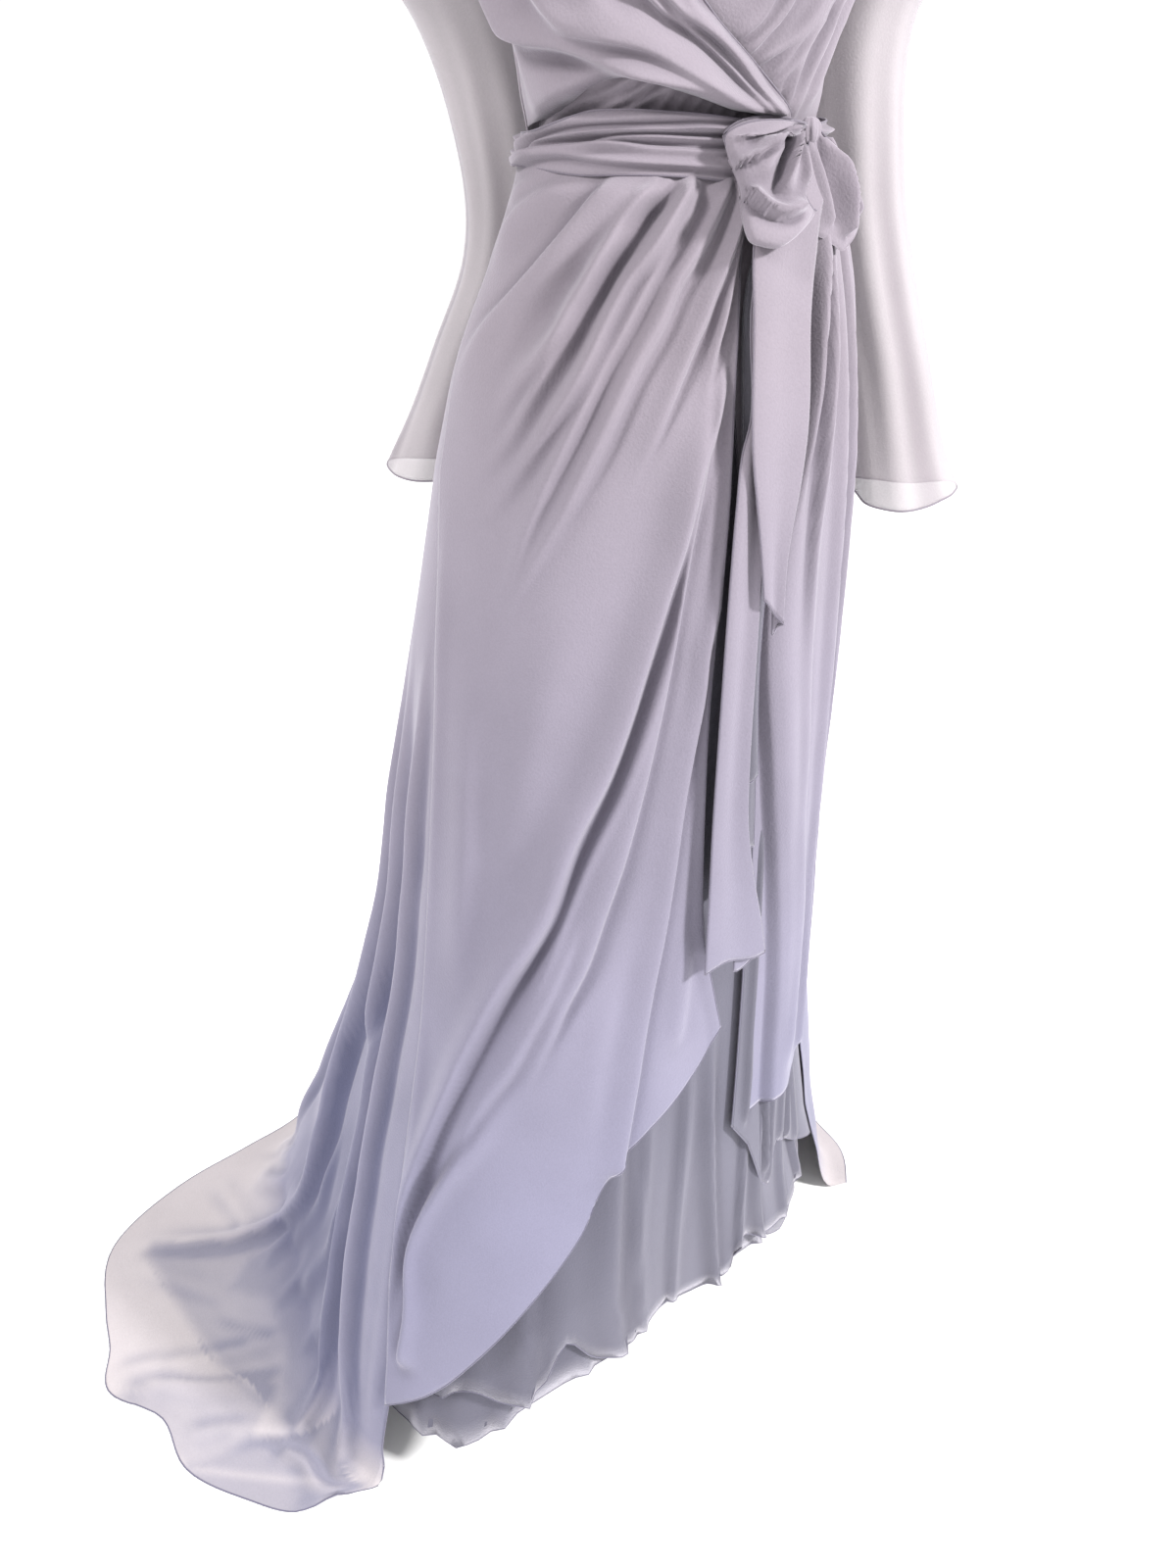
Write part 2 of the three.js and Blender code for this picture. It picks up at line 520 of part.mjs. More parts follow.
// The armhole's edge as a ring, drawn in by an inset: 0 is the shoulder tip, 90 the front, 180 the underarm.
function armholeRing(side, angle, inset) {
  const [up, forward] = [Math.cos(radians(angle)), Math.sin(radians(angle))];
  const middle = (UNDERARM_HEIGHT + SHOULDER_TIP_HEIGHT) / 2;
  const height = middle + ((SHOULDER_TIP_HEIGHT - UNDERARM_HEIGHT) / 2 - SEAM_GAP) * up;
  const cut = Math.max(lookUp(ARMHOLE, "height", height, "cut") - ARMHOLE_LAP, 0);
  const insetTurn = THREE.MathUtils.radToDeg(inset / sheathWidth(90, height)) * forward;
  const turn = side * (90 - (Math.sign(forward) || 1) * cut + insetTurn);
  return onSheath(turn, height - inset * up, SLEEVE_STAND - inset * Math.max(up, 0));
}

// The sections of a sleeve, with smooth ones worked out between the rows of its table.
function sleeveSections(table) {
  const at = (k, key) => table[THREE.MathUtils.clamp(k, 0, table.length - 1)][key];
  const between = (k, t, key) => throughFour(at(k - 1, key), at(k, key), at(k + 1, key), at(k + 2, key), t);
  return Array.from({ length: SLEEVE_ROWS + 1 }, (_, row) => {
    const place = (row / SLEEVE_ROWS) * (table.length - 1);
    const k = Math.min(Math.floor(place), table.length - 2);
    return Object.fromEntries(Object.keys(table[0]).map((key) => [key, between(k, place - k, key)]));
  });
}

// How far a sleeve's folds have grown, from 0 at the upper arm to 1.
function sleeveLoosen(height) {
  return smooth((1250 - height) / 300);
}

function sleeve(name, side, table) {
  const ringAt = (row, outward) => Array.from({ length: SLEEVE_COLUMNS }, (_, j) => {
    const angle = (360 * j) / SLEEVE_COLUMNS;
    const fold = SLEEVE_FOLD_DEPTH * Math.cos(radians(angle * SLEEVE_FOLDS)) * sleeveLoosen(row.height);
    const across = side * (row.wide + fold + outward) * Math.cos(radians(angle));
    const along = (row.deep + fold + outward) * Math.sin(radians(angle));
    const p = new THREE.Vector3(row.x + across, row.y - along, row.height);
    return p.lerp(armholeRing(side, angle, -outward), THREE.MathUtils.clamp(row.join, 0, 1));
  });
  const sections = sleeveSections(table);
  const rows = [{ ...sections[0], join: 1 }, ...sections];
  const outer = rows.map((row) => ringAt(row, 0));
  const inner = rows.map((row) => ringAt(row, -CLOTH));
  const turned = side > 0 ? (grid) => grid.map((ring) => [...ring].reverse()) : (grid) => grid;
  return wallMesh(name, turned(outer), turned(inner), true, SHEER);
}

function sashWrap() {
  const [rows, columns] = [6, 36];
  return panel("sash_wrap", rows, columns, (across, down) => {
    const turn = across * 360 - 180;
    const tilt = -6 * Math.exp(-(((turn - KNOT_TURN) / 45) ** 2)) + 3 * Math.exp(-(((turn + 20) / 40) ** 2));
    const height = lerp(SASH_HIGH, SASH_LOW, down) + tilt;
    const cross = 0.5 * Math.sin(radians(turn * 2));
    const pleat = SASH_PLEAT_DEPTH * (0.5 + 0.5 * Math.cos(2 * Math.PI * (down * SASH_PLEATS + cross)));
    const over = 3.2 * smooth((height - WAIST_HEIGHT) / 14);
    return { turn, height, out: CLOTH + LAYER_GAP + 0.4 + pleat * Math.sin(Math.PI * down) + over };
  }, LILAC, true);
}

// The place and the directions of the bow, outside the sash.
function bowPoint(slide, height, stand) {
  const turn = KNOT_TURN + (slide / sheathWidth(KNOT_TURN, WAIST_HEIGHT)) * (180 / Math.PI);
  return onSheath(turn, height, stand);
}

function bowKnot() {
  const ball = new THREE.SphereGeometry(1, 14, 9);
  const place = ball.attributes.position;
  const pleated = (angle) => 1 + 0.06 * Math.cos(5 * angle);
  for (let k = 0; k < place.count; k++) {
    const [x, y, z] = [place.getX(k), place.getY(k), place.getZ(k)];
    const swell = pleated(Math.atan2(z, x));
    place.setXYZ(k, x * KNOT_SIZE.wide * swell, z * KNOT_SIZE.deep * swell, -y * KNOT_SIZE.tall);
  }
  ball.computeVertexNormals();
  const knot = new THREE.Mesh(ball, LILAC);
  knot.name = "bow_knot";
  knot.position.copy(bowPoint(0, KNOT_HEIGHT, KNOT_STAND));
  knot.rotation.z = radians(KNOT_TURN);
  return knot;
}

// A loop of the bow: each section is a drop that hangs from the knot, and the sections lie side by side.
function bowLoop(name, sections) {
  const around = 12;
  const ring = (row, outward) => Array.from({ length: around }, (_, j) => {
    const angle = radians((360 * j) / around);
    const middle = (row.low + row.high) / 2;
    const half = (row.high - row.low) / 2 + outward;
    const pinch = 0.78 - 0.22 * Math.cos(angle);
    const height = middle + half * Math.cos(angle);
    const lean = -row.lean * Math.cos(angle);
    return bowPoint(row.slide, height, row.stand + lean + (row.bulge * pinch + outward) * Math.sin(angle));
  });
  const outer = sections.map((row) => ring(row, 0).reverse());
  const inner = sections.map((row) => ring(row, -CLOTH).reverse());
  return wallMesh(name, outer, inner, true, LILAC);
}

function buildDress() {
  const dress = new THREE.Group();
  dress.add(bodiceBack(), bodiceFrontRight(), bodiceFrontLeft());
  dress.add(sleeve("sleeve_right", -1, RIGHT_SLEEVE), sleeve("sleeve_left", 1, LEFT_SLEEVE));
  dress.add(sashWrap(), bowKnot());
  dress.add(bowLoop("bow_loop_front", FRONT_LOOP), bowLoop("bow_loop_side", SIDE_LOOP));
  dress.add(strip("sash_tail_short", 8, 6, SHORT_TAIL, (across) => -10 + 20 * (1 - across), 2, 1.5, LILAC));
  dress.add(strip("sash_tail_long", 12, 7, LONG_TAIL, (across) => 4 * Math.sin(across * 6), 2, 2, LILAC));
  dress.add(strip("front_cascade", 10, 6, CASCADE, (across) => 40 * across, 3, 1.2, UNDER));
  dress.add(skirtFrontRight(), skirtFrontLeft(), skirtLeftUnder(), skirtBack());
  dress.add(underskirt("underskirt_mid", 9, 36, { waist: 2 * LAYER + 0.4, hem: 19.5 }, MID_HEM, 12, 2.5));
  dress.add(underskirt("underskirt_inner", 9, 36, { waist: 3 * LAYER + 0.4, hem: 28.5 }, INNER_HEM, 10, 2));
  dress.position.z = -SHOULDER_HEIGHT;
  return dress;
}

const part = new THREE.Group();
part.add(buildDress());

export default part;
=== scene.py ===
"""A long-sleeved chiffon wrap dress with a swept train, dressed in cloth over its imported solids.

The cloth is worked out in millimetres. A turn is in degrees round the upright body axis: 0 front,
90 the wearer's left, 180 back, -90 the wearer's right. A height is above the floor.
"""
import math

import bpy
import numpy as np
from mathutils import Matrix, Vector


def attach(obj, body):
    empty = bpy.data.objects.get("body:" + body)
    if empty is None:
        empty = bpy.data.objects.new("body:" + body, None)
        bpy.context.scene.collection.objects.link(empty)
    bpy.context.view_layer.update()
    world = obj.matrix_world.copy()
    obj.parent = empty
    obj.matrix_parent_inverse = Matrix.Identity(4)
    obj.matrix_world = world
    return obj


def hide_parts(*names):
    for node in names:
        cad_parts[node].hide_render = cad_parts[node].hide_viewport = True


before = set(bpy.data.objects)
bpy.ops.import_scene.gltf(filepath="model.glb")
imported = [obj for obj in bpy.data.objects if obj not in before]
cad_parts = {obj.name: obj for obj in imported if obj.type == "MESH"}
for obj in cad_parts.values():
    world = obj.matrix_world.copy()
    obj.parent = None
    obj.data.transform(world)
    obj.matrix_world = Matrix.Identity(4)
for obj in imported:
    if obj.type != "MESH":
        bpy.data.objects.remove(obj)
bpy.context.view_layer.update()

MM = 0.001
SHOULDER_HEIGHT = 1420
NECK_HEIGHT = 1452
WAIST_HEIGHT = 1082
UNDERARM_HEIGHT = 1290
SHOULDER_TIP_HEIGHT = 1408
FLOOR_START_HEIGHT = 60
# The cloth: its thickness, how far an under layer stands back, the radius of a rolled hem.
CLOTH = 0.8
LAYER = 2.2
HEM_RADIUS = 0.75
# Stand-offs of the wrapped bodice front and of the sleeve's edge in the armhole.
OVERLAP_STAND = 2.2
SLEEVE_STAND = -1.45
# Every fold's height and width are multiplied by these.
RELIEF = 1.55
SPREAD = 0.88
# The painted shade of hollows: how often the stand-offs are averaged, and the depth that gives the full
# painted shade.
HOLLOW_PASSES = 7
HOLLOW_DEPTH = 2.2
TRAIN_TONE_BLUR = 18
LEFT_SEAM_TURN = 98
SEAM_GAP_TURN = 0.3
# The power that spaces a skirt panel's rows: over 1, they lie closer together near the waist.
ROW_SPREAD = 1.45
# The colour of the chiffon near the waist, and the heights in metres between which it changes.
LILAC = (0.192, 0.168, 0.196)
COLOUR_FALL = (-0.45, -1.1)
FLOOR_FALL = (-1.36, -1.412)
# The camera's focal length and the photograph's height, in pixels, and the sensor in mm.
FOCAL_LENGTH = 1202
PHOTO_HEIGHT = 1600
SENSOR = 36

# The body sheath: a height, then the half width at every SHEATH_STEP degrees, from the front on.
SHEATH_STEP = 45
SHEATH = (
    (1455, 62, 62, 66, 66, 66, 66, 66, 62),
    (1440, 72, 76, 100, 84, 76, 84, 100, 76),
    (1425, 82, 92, 138, 100, 84, 100, 138, 92),
    (1400, 94, 113, 166, 118, 92, 118, 166, 113),
    (1360, 106, 128, 166, 126, 99, 126, 166, 128),
    (1320, 118, 140, 156, 125, 102, 125, 156, 140),
    (1270, 128, 147, 147, 120, 102, 120, 149, 148),
    (1210, 120, 130, 126, 110, 97, 112, 134, 136),
    (1150, 98, 104, 103, 100, 91, 102, 114, 110),
    (1110, 87, 94, 98, 94, 88, 95, 106, 97),
    (1080, 84, 91, 97, 93, 87, 94, 104, 94),
    (1010, 106, 113, 121, 122, 120, 124, 128, 117),
    (950, 120, 127, 131, 140, 146, 150, 155, 138),
    (880, 130, 134, 139, 152, 162, 168, 175, 155),
    (750, 142, 139, 142, 168, 186, 198, 199, 180),
    (600, 152, 141, 143, 190, 218, 234, 223, 208),
    (450, 160, 145, 149, 216, 256, 280, 250, 240),
    (300, 164, 148, 160, 246, 305, 335, 292, 282),
    (150, 162, 149, 182, 280, 365, 405, 342, 326),
    (60, 160, 150, 203, 300, 405, 440, 362, 347),
)
SHEATH_HEIGHTS = np.array([row[0] for row in SHEATH], float)
SHEATH_WIDTHS = np.array([row[1:] for row in SHEATH], float)

# How far the train reaches over the floor: turn, reach.
TRAIN_REACH = (
    (98, 262), (108, 288), (120, 300), (140, 352), (165, 412), (190, 452), (215, 470), (232, 468),
    (241, 500), (249, 548), (258, 588), (266, 574), (271, 562), (276, 560), (281, 512), (288, 500),
    (295, 462), (300, 432), (303, 388), (306, 362),
)

# How far the back's hem lifts off the floor beside the right side seam: turn, height.
TRAIN_HEM = ((98, 0), (300, 0), (303.5, 14), (306, 58))

# Edges and hems. A seam or a lead gives (height, turn), a hem gives (turn, height).
RIGHT_SEAM = ((1080, -92), (930, -86), (732, -72), (490, -65), (236, -58), (100, -54))
RIGHT_LEAD = ((1080, 22), (1055, 13), (983, 6), (844, 2), (711, -2), (561, -2), (495, 2), (446, 6))
RIGHT_PETAL_HEM = (
    (-54, 112), (-46, 146), (-40, 184), (-33, 234), (-25, 294), (-21, 338), (-14, 369), (-4, 398),
    (1, 417), (6, 446),
)
LEFT_LEAD = ((1080, -20), (1000, 2), (900, 10), (760, 14), (647, 19.5), (500, 23), (309, 25.5))
LEFT_RIDGE = (
    (1080, 40), (1054, 36), (1026, 33), (940, 28), (865, 23), (811, 20), (745, 20.5), (644, 26),
    (503, 34), (309, 38),
)
LEFT_CREST = (
    (1080, 0), (1054, 0), (1026, 8), (940, 7), (865, 5), (811, 4), (745, 4), (644, 4), (503, 4), (309, 3),
)
LEFT_PETAL_HEM = ((19, 309), (28, 306), (44, 307), (60, 318), (75, 338), (98, 372))
LEFT_UNDER_HEM = ((20, 300), (31, 258), (43, 186), (50, 168), (57, 214), (73, 178), (98, 104))
MID_HEM = (
    (-180, 96), (-150, 110), (-120, 98), (-90, 112), (-60, 118), (-50, 125), (-42, 136), (-36, 120),
    (-31, 122), (-27, 162), (-21, 124), (-13, 100), (-3, 100), (12, 76), (30, 70), (37, 112),
    (57, 80), (80, 72), (110, 96), (145, 104), (180, 96),
)
INNER_HEM = (
    (-180, 52), (-120, 58), (-75, 66), (-50, 68), (-44, 59), (-38, 77), (-33, 98), (-24, 106),
    (-13, 88), (0, 78), (20, 62), (40, 74), (70, 58), (120, 60), (180, 52),
)
OVER_LEAD = (
    (1100, 35), (1125, 14), (1153, -7), (1190, -22), (1240, -35), (1300, -46), (1360, -56), (1410, -67),
    (1440, -77), (NECK_HEIGHT, -82),
)
UNDER_LEAD = (
    (WAIST_HEIGHT, -84), (1105, -70), (1130, -38), (1160, -8), (1190, 14), (1240, 33), (1300, 46),
    (1360, 56), (1410, 67), (1440, 77), (NECK_HEIGHT, 82),
)
BLOUSON_EDGE = (
    (-89, 1092), (-66, 1098), (-52, 1107), (-39, 1115), (-30, 1118), (-13, 1112), (-3, 1108), (7, 1103),
                (20, 1098),
    (35, 1094),
)
ARMHOLE = ((UNDERARM_HEIGHT, 0), (1310, 17), (1345, 25), (1380, 21), (SHOULDER_TIP_HEIGHT, 0))


def fold(line, depth, width, side=1, lip=0.35, fade=(0.12, 0.3)):
    """A soft fold along a line of (turn, height) points, depth and width in mm.

    It falls steeply, over lip times its width, on the left hand of a walk along the line, or on the
    right hand where side is -1, and gently on the other. It fades over these shares of its ends.
    """
    return {"line": line, "depth": depth, "width": width, "side": side, "lip": lip, "fade": fade}


# Folds of the right skirt front, from the sash down.
RIGHT_FOLDS = [
    fold([(-50, 1080), (-57, 1074), (-68, 1066), (-83, 1054), (-92, 1040)], 4, 11, -1, 0.5, (0, 0.4)),
    fold([(-40, 1079), (-51, 1066), (-65, 1051), (-80, 1034), (-91, 1008)], 4.5, 13, -1, 0.5, (0, 0.4)),
    fold([(-33, 1079), (-40, 1060), (-47, 1044), (-55, 1024), (-66, 998), (-77, 972), (-86, 930)],
         5, 14, -1, 0.22, (0, 0.5)),
    fold([(-24, 1079), (-33, 1058), (-42, 1036), (-52, 1012), (-64, 975), (-72, 940)], 3.5, 12, 1, 0.6,
         (0, 0.6)),
    fold([(-20, 1079), (-25, 1056), (-32, 1039), (-35, 1025), (-39, 1007), (-43, 992), (-47, 972),
          (-57, 945), (-67, 905)], 6, 11, 1, 0.4, (0, 0.5)),
    fold([(-14.5, 1079), (-20, 1058), (-26, 1047), (-30, 1033), (-36, 1016), (-39, 1000), (-44, 973),
          (-50, 945), (-57, 912), (-67, 880)], 6.5, 10, 1, 0.35, (0, 0.45)),
    fold([(-7, 1079), (-11, 1058), (-15, 1044), (-21, 1025), (-28, 1007), (-33, 985), (-38, 955),
          (-45, 925), (-56, 880), (-65, 850)], 7, 10, 1, 0.4, (0, 0.5)),
    fold([(-3, 1079), (-9, 1052), (-18, 1024), (-24, 1001), (-29, 979), (-34, 955), (-42, 905),
          (-50, 850), (-57, 790)], 6, 11, 1, 0.4, (0, 0.5)),
    fold([(8, 1079), (5, 1061), (-1, 1042), (-7, 1025), (-14, 1006), (-19, 983), (-26, 954), (-33, 912),
          (-40, 870), (-50, 820), (-56, 780)], 6, 12, 1, 0.4, (0, 0.5)),
    fold([(12, 1079), (8, 1042), (2.5, 1018), (-2, 1000), (-5, 986), (-9, 970), (-15, 940), (-21, 905),
          (-28, 870)], 5.5, 10, 1, 0.3, (0, 0.55)),
    fold([(14, 1079), (12, 1050), (6, 1018), (4, 1005), (1, 984), (-2, 966), (-5, 942), (-6, 934)],
         5, 7, 1, 0.4, (0, 0.35)),
    # The long sweep from the knot to the lower seam.
    fold([(3, 985), (0, 943), (-5, 910), (-8.5, 884), (-12, 849), (-16, 815), (-20, 775), (-24, 730),
          (-28, 690), (-34, 640), (-38, 580), (-45, 518), (-51, 441), (-55.5, 354), (-57, 290),
          (-57.5, 224), (-56, 170)], (7, 9, 10, 10, 9, 8), (18, 19, 20, 18, 14, 9), 1, 0.3, (0.1, 0.08)),
    fold([(1.5, 965), (-3, 905), (-7.5, 860), (-12, 800), (-18, 740), (-24, 680), (-31, 620), (-36, 560),
          (-41, 500), (-47, 440)], 3, 5, -1, 0.8, (0.1, 0.25)),
    fold([(-2, 940), (-5, 895), (-8, 858), (-10.6, 823), (-13, 785), (-15, 750), (-18, 705), (-21, 661),
          (-24, 619), (-27, 584), (-30, 543), (-33.5, 509), (-36, 474), (-40, 425)],
         (4, 6, 7, 6), (10, 15, 18, 14), 1, 0.25, (0.15, 0.2)),
    fold([(-31, 590), (-35, 534), (-37, 510), (-39.5, 480), (-42, 450), (-45, 424), (-49, 376), (-53, 310)],
         4.5, 12, 1, 0.35, (0.25, 0.3)),
    fold([(1, 850), (0, 804), (-2.5, 775), (-4, 738), (-7.6, 685), (-9.3, 655), (-11.4, 605),
          (-13.6, 557), (-15.7, 516), (-17.6, 468), (-19, 423), (-20.5, 375), (-21.5, 340)],
         (3, 5, 6, 5), (9, 13, 16, 16), 1, 0.25, (0.15, 0.02)),
    fold([(-41, 447), (-46, 390), (-50.5, 345), (-54, 301), (-55, 263), (-53, 212), (-53, 160)],
         (4, 7, 8, 7), 10, -1, 0.4, (0.3, 0.03)),
    # Soft folds beside the side seam.
    fold([(-77, 880), (-74, 760), (-70, 610), (-69, 496), (-64.5, 414), (-61, 300),
          (-58, 180)], 5, 12, -1, 0.5,
         (0.3, 0.1)),
    fold([(-62, 760), (-58, 640), (-56, 540), (-56, 460)], 2.5, 16, 1, 0.8, (0.4, 0.4)),
    fold([(-36, 820), (-42, 740), (-46, 660), (-49, 600)], 1.5, 20, 1, 0.9, (0.4, 0.4)),
    fold([(-22, 560), (-25, 500), (-27, 440), (-28, 380)], 2, 14, 1, 0.8, (0.4, 0.3)),
    fold([(-6, 560), (-7, 500), (-9, 440)], 2, 12, 1, 0.8, (0.4, 0.2)),
]

# Folds of the left skirt front.
LEFT_FOLDS = [
    fold([(43, 1078), (42, 1028), (36.6, 992), (32.5, 943), (30.5, 914), (29, 880), (27, 840)], 7, 9, 1, 0.35,
         (0, 0.4)),
    fold([(50, 1076), (47, 1030), (42, 985), (38, 940), (37, 906), (36.5, 885), (35.6, 847), (36, 780),
          (37.6, 720)], 6, 12, -1, 0.35, (0, 0.5)),
    fold([(33, 860), (36.8, 802), (37.6, 741), (41, 672), (42, 600), (45, 519), (46, 440),
          (44, 330)], 3, 12, 1, 0.7,
         (0.3, 0.1)),
    fold([(56, 1076), (54, 1020), (52, 940), (53, 840), (54, 740), (57, 620), (58, 500),
          (60, 330)], 5, 10, 1, 0.5,
         (0, 0.02)),
    fold([(66, 1076), (66, 980), (68, 860), (68, 700), (70, 560), (70, 340)], 5, 11, -1, 0.5, (0, 0.02)),
    fold([(77, 1076), (79, 980), (81, 880), (82, 740), (84, 580), (83, 360)], 6, 12, 1, 0.5, (0, 0.02)),
    fold([(88, 1076), (90, 960), (91, 820), (92, 640), (92, 380)], 5, 9, -1, 0.5, (0, 0.02)),
]
LEFT_UNDER_FOLDS = [
    fold([(26, 640), (27, 520), (27, 420), (28, 300)], 4, 7, 1, 0.4, (0.2, 0)),
    fold([(36, 640), (36, 480), (37, 340), (45, 200)], 5, 8, -1, 0.4, (0.2, 0)),
    fold([(46, 600), (46, 420), (47, 300), (50, 180)], 4, 7, 1, 0.5, (0.2, 0)),
    fold([(58, 600), (59, 400), (60, 220)], 5, 9, 1, 0.4, (0.2, 0)),
    fold([(70, 600), (71, 400), (72, 190)], 5, 9, -1, 0.5, (0.2, 0)),
    fold([(84, 600), (85, 400), (86, 150)], 5, 9, 1, 0.4, (0.2, 0)),
]

# Folds of the under layers that show between the petal hems, then those all round.
MID_FOLDS = [
    fold([(-47, 420), (-48, 300), (-47, 200), (-46, 130)], 6, 12, 1, 0.4, (0.4, 0)),
    fold([(-35, 420), (-34, 300), (-33.4, 209), (-33, 175), (-32, 120)], 10, 14, 1, 0.12, (0.4, 0)),
    fold([(-18, 520), (-18, 380), (-18, 299), (-18, 210), (-16.5, 147), (-14.5, 80)], 7, 16, 1, 0.2,
         (0.4, 0)),
    fold([(-11, 440), (-11, 326), (-12, 222), (-9, 80)], 4, 8, -1, 0.4, (0.4, 0)),
    fold([(2, 460), (2, 320), (1, 200), (2, 85)], 4, 12, -1, 0.6, (0.4, 0)),
    fold([(11.7, 460), (12, 352), (16, 230), (24, 70)], 8, 16, 1, 0.2, (0.4, 0)),
    fold([(30, 420), (31, 300), (33, 180), (35, 80)], 5, 12, -1, 0.5, (0.4, 0)),
    fold([(38, 420), (42, 218), (48.7, 125), (52, 66)], 8, 16, 1, 0.2, (0.4, 0)),
    fold([(66, 420), (68, 240), (70, 80)], 7, 14, 1, 0.4, (0.4, 0)),
    fold([(84, 420), (85, 240), (86, 80)], 7, 14, -1, 0.4, (0.4, 0)),
]
INNER_FOLDS = [
    fold([(-52, 300), (-51, 180), (-50, 60)], 5, 14, 1, 0.5, (0.4, 0)),
    fold([(-38, 300), (-38, 200), (-37, 80)], 6, 12, -1, 0.3, (0.4, 0)),
    fold([(-22, 300), (-22, 200), (-21, 90)], 5, 14, 1, 0.4, (0.4, 0)),
    fold([(-6, 300), (-6, 200), (-5, 80)], 5, 12, 1, 0.5, (0.4, 0)),
    fold([(30, 300), (30, 180), (31, 70)], 6, 14, -1, 0.4, (0.4, 0)),
    fold([(52, 300), (53, 180), (54, 60)], 6, 14, 1, 0.4, (0.4, 0)),
]

# Folds of the skirt back: (turn at the waist, turn at the train's edge, depth, width, side).
BACK_FOLDS = (
    (106, 110, 9, 22, 1), (117, 122, 7, 18, -1), (126, 134, 11, 26, 1), (139, 146, 8, 20, 1),
    (149, 158, 12, 30, -1), (161, 169, 7, 20, 1), (172, 182, 12, 32, 1), (184, 194, 8, 22, -1),
    (194, 206, 11, 30, 1), (206, 217, 8, 22, 1), (216, 229, 12, 32, -1), (228, 240, 8, 24, 1),
)
# Folds of the back that sweep round the wearer's right side on to the train.
TRAIN_FOLDS = [
    fold([(262, 760), (260, 560), (259.4, 380), (258.4, 301), (260.9, 242), (264, 203), (263.5, 116),
          (259, 52),
          (258.4, 37), (258, 13), (260, 4)], (5, 10, 13, 15, 13, 7), (20, 24, 24, 20, 15, 10), 1, 0.4,
         (0.2, 0.1)),
    fold([(270, 760), (269, 415), (276.5, 354), (285.3, 258), (290.3, 97), (291.5, 52), (291.8, 39),
          (288.2, 26),
          (288.1, 9)], (4, 8, 11, 12, 11, 6), (16, 20, 20, 18, 14, 10), 1, 0.4, (0.2, 0.1)),
    fold([(280, 780), (285.5, 429), (287.4, 331), (290.5, 250), (295.6, 129), (299.6, 46), (302.7, 20)],
         (4, 8, 10, 10, 6), (14, 16, 16, 14, 10), 1, 0.45, (0.2, 0.05)),
    fold([(296, 560), (300, 330), (303, 150), (304, 60)], 6, 10, 1, 0.5, (0.3, 0.1)),
    fold([(291.7, 32), (296.4, 34), (302, 18)], 7, 12, 1, 0.4, (0.1, 0.1)),
    # The crease across the far train, then soft ones across the bend.
    fold([(244.2, 33), (249.9, 54), (261.3, 105)], 7, 12, 1, 0.5, (0.2, 0.2)),
    fold([(247, 12), (252, 34), (258, 46)], 3, 10, -1, 0.6, (0.3, 0.3)),
    fold([(236, 20), (241, 44), (248, 66), (255, 120)], 4, 14, 1, 0.6, (0.3, 0.3)),
    fold([(268.2, 225), (269.1, 151), (265.5, 80), (262.9, 57), (265.3, 46)], 6, 13, 1, 0.5, (0.2, 0.2)),
    fold([(278.7, 227), (279.9, 161), (276, 84), (272.1, 58), (271.3, 48)], 7, 13, 1, 0.5, (0.2, 0.25)),
    fold([(286, 180), (287, 110), (284, 66), (281, 52)], 5, 12, 1, 0.5, (0.2, 0.3)),
    # Thin creases, then the edge of the flap that lies over the train.
    fold([(273.5, 3), (274, 15), (275.6, 36), (277.8, 52)], 3.5, 9, 1, 0.35, (0.05, 0.2)),
    fold([(270, 28), (274, 40), (278, 49)], 2.5, 7, 1, 0.4, (0.3, 0.3)),
    fold([(261, 8), (264, 24), (268, 38)], 2, 12, -1, 0.5, (0.3, 0.3)),
    fold([(276.8, 5), (276.8, 14), (278.9, 22), (282.3, 40), (283.9, 46)], 5, 16, 1, 0.22, (0.02, 0.15)),
    fold([(284, 6), (285, 18), (287, 30)], 3, 9, 1, 0.4, (0.1, 0.3)),
]
# Where the train is darkened, partly because its cloth lies over more of itself and partly as painted shade:
# a share, then the outline as (turn, height).
TRAIN_LAYERS_AND_SHADE = (
    (0.6, ((257.5, 12), (258.4, 37), (259, 52), (263.5, 116), (264, 203), (260.9, 242), (258.4, 301),
           (259.4, 380),
           (262, 560), (271, 560), (270, 415), (277.5, 354), (286.3, 258), (291.3, 97), (291.8, 39),
           (289.2, 38.9),
           (277.3, 30.3), (267, 21.5), (259.2, 11.3))),
    (0.25, ((266, 37.5), (270.4, 48.6), (278.6, 50.9), (288.5, 40.1), (291.8, 39.5), (291.5, 52),
            (290.3, 97.5),
            (285.3, 257.7), (270, 257), (266, 180), (263.5, 80), (262, 45))),
    (0.7, ((291.8, 38), (288.2, 26), (288.1, 9), (288, -5), (305, -5), (303, 30), (299.6, 46), (296, 60))),
    (0.45, ((277, -5), (277, 14), (279, 22.5), (282.3, 39.6), (284, 41), (288.2, 26), (288, -5))),
)

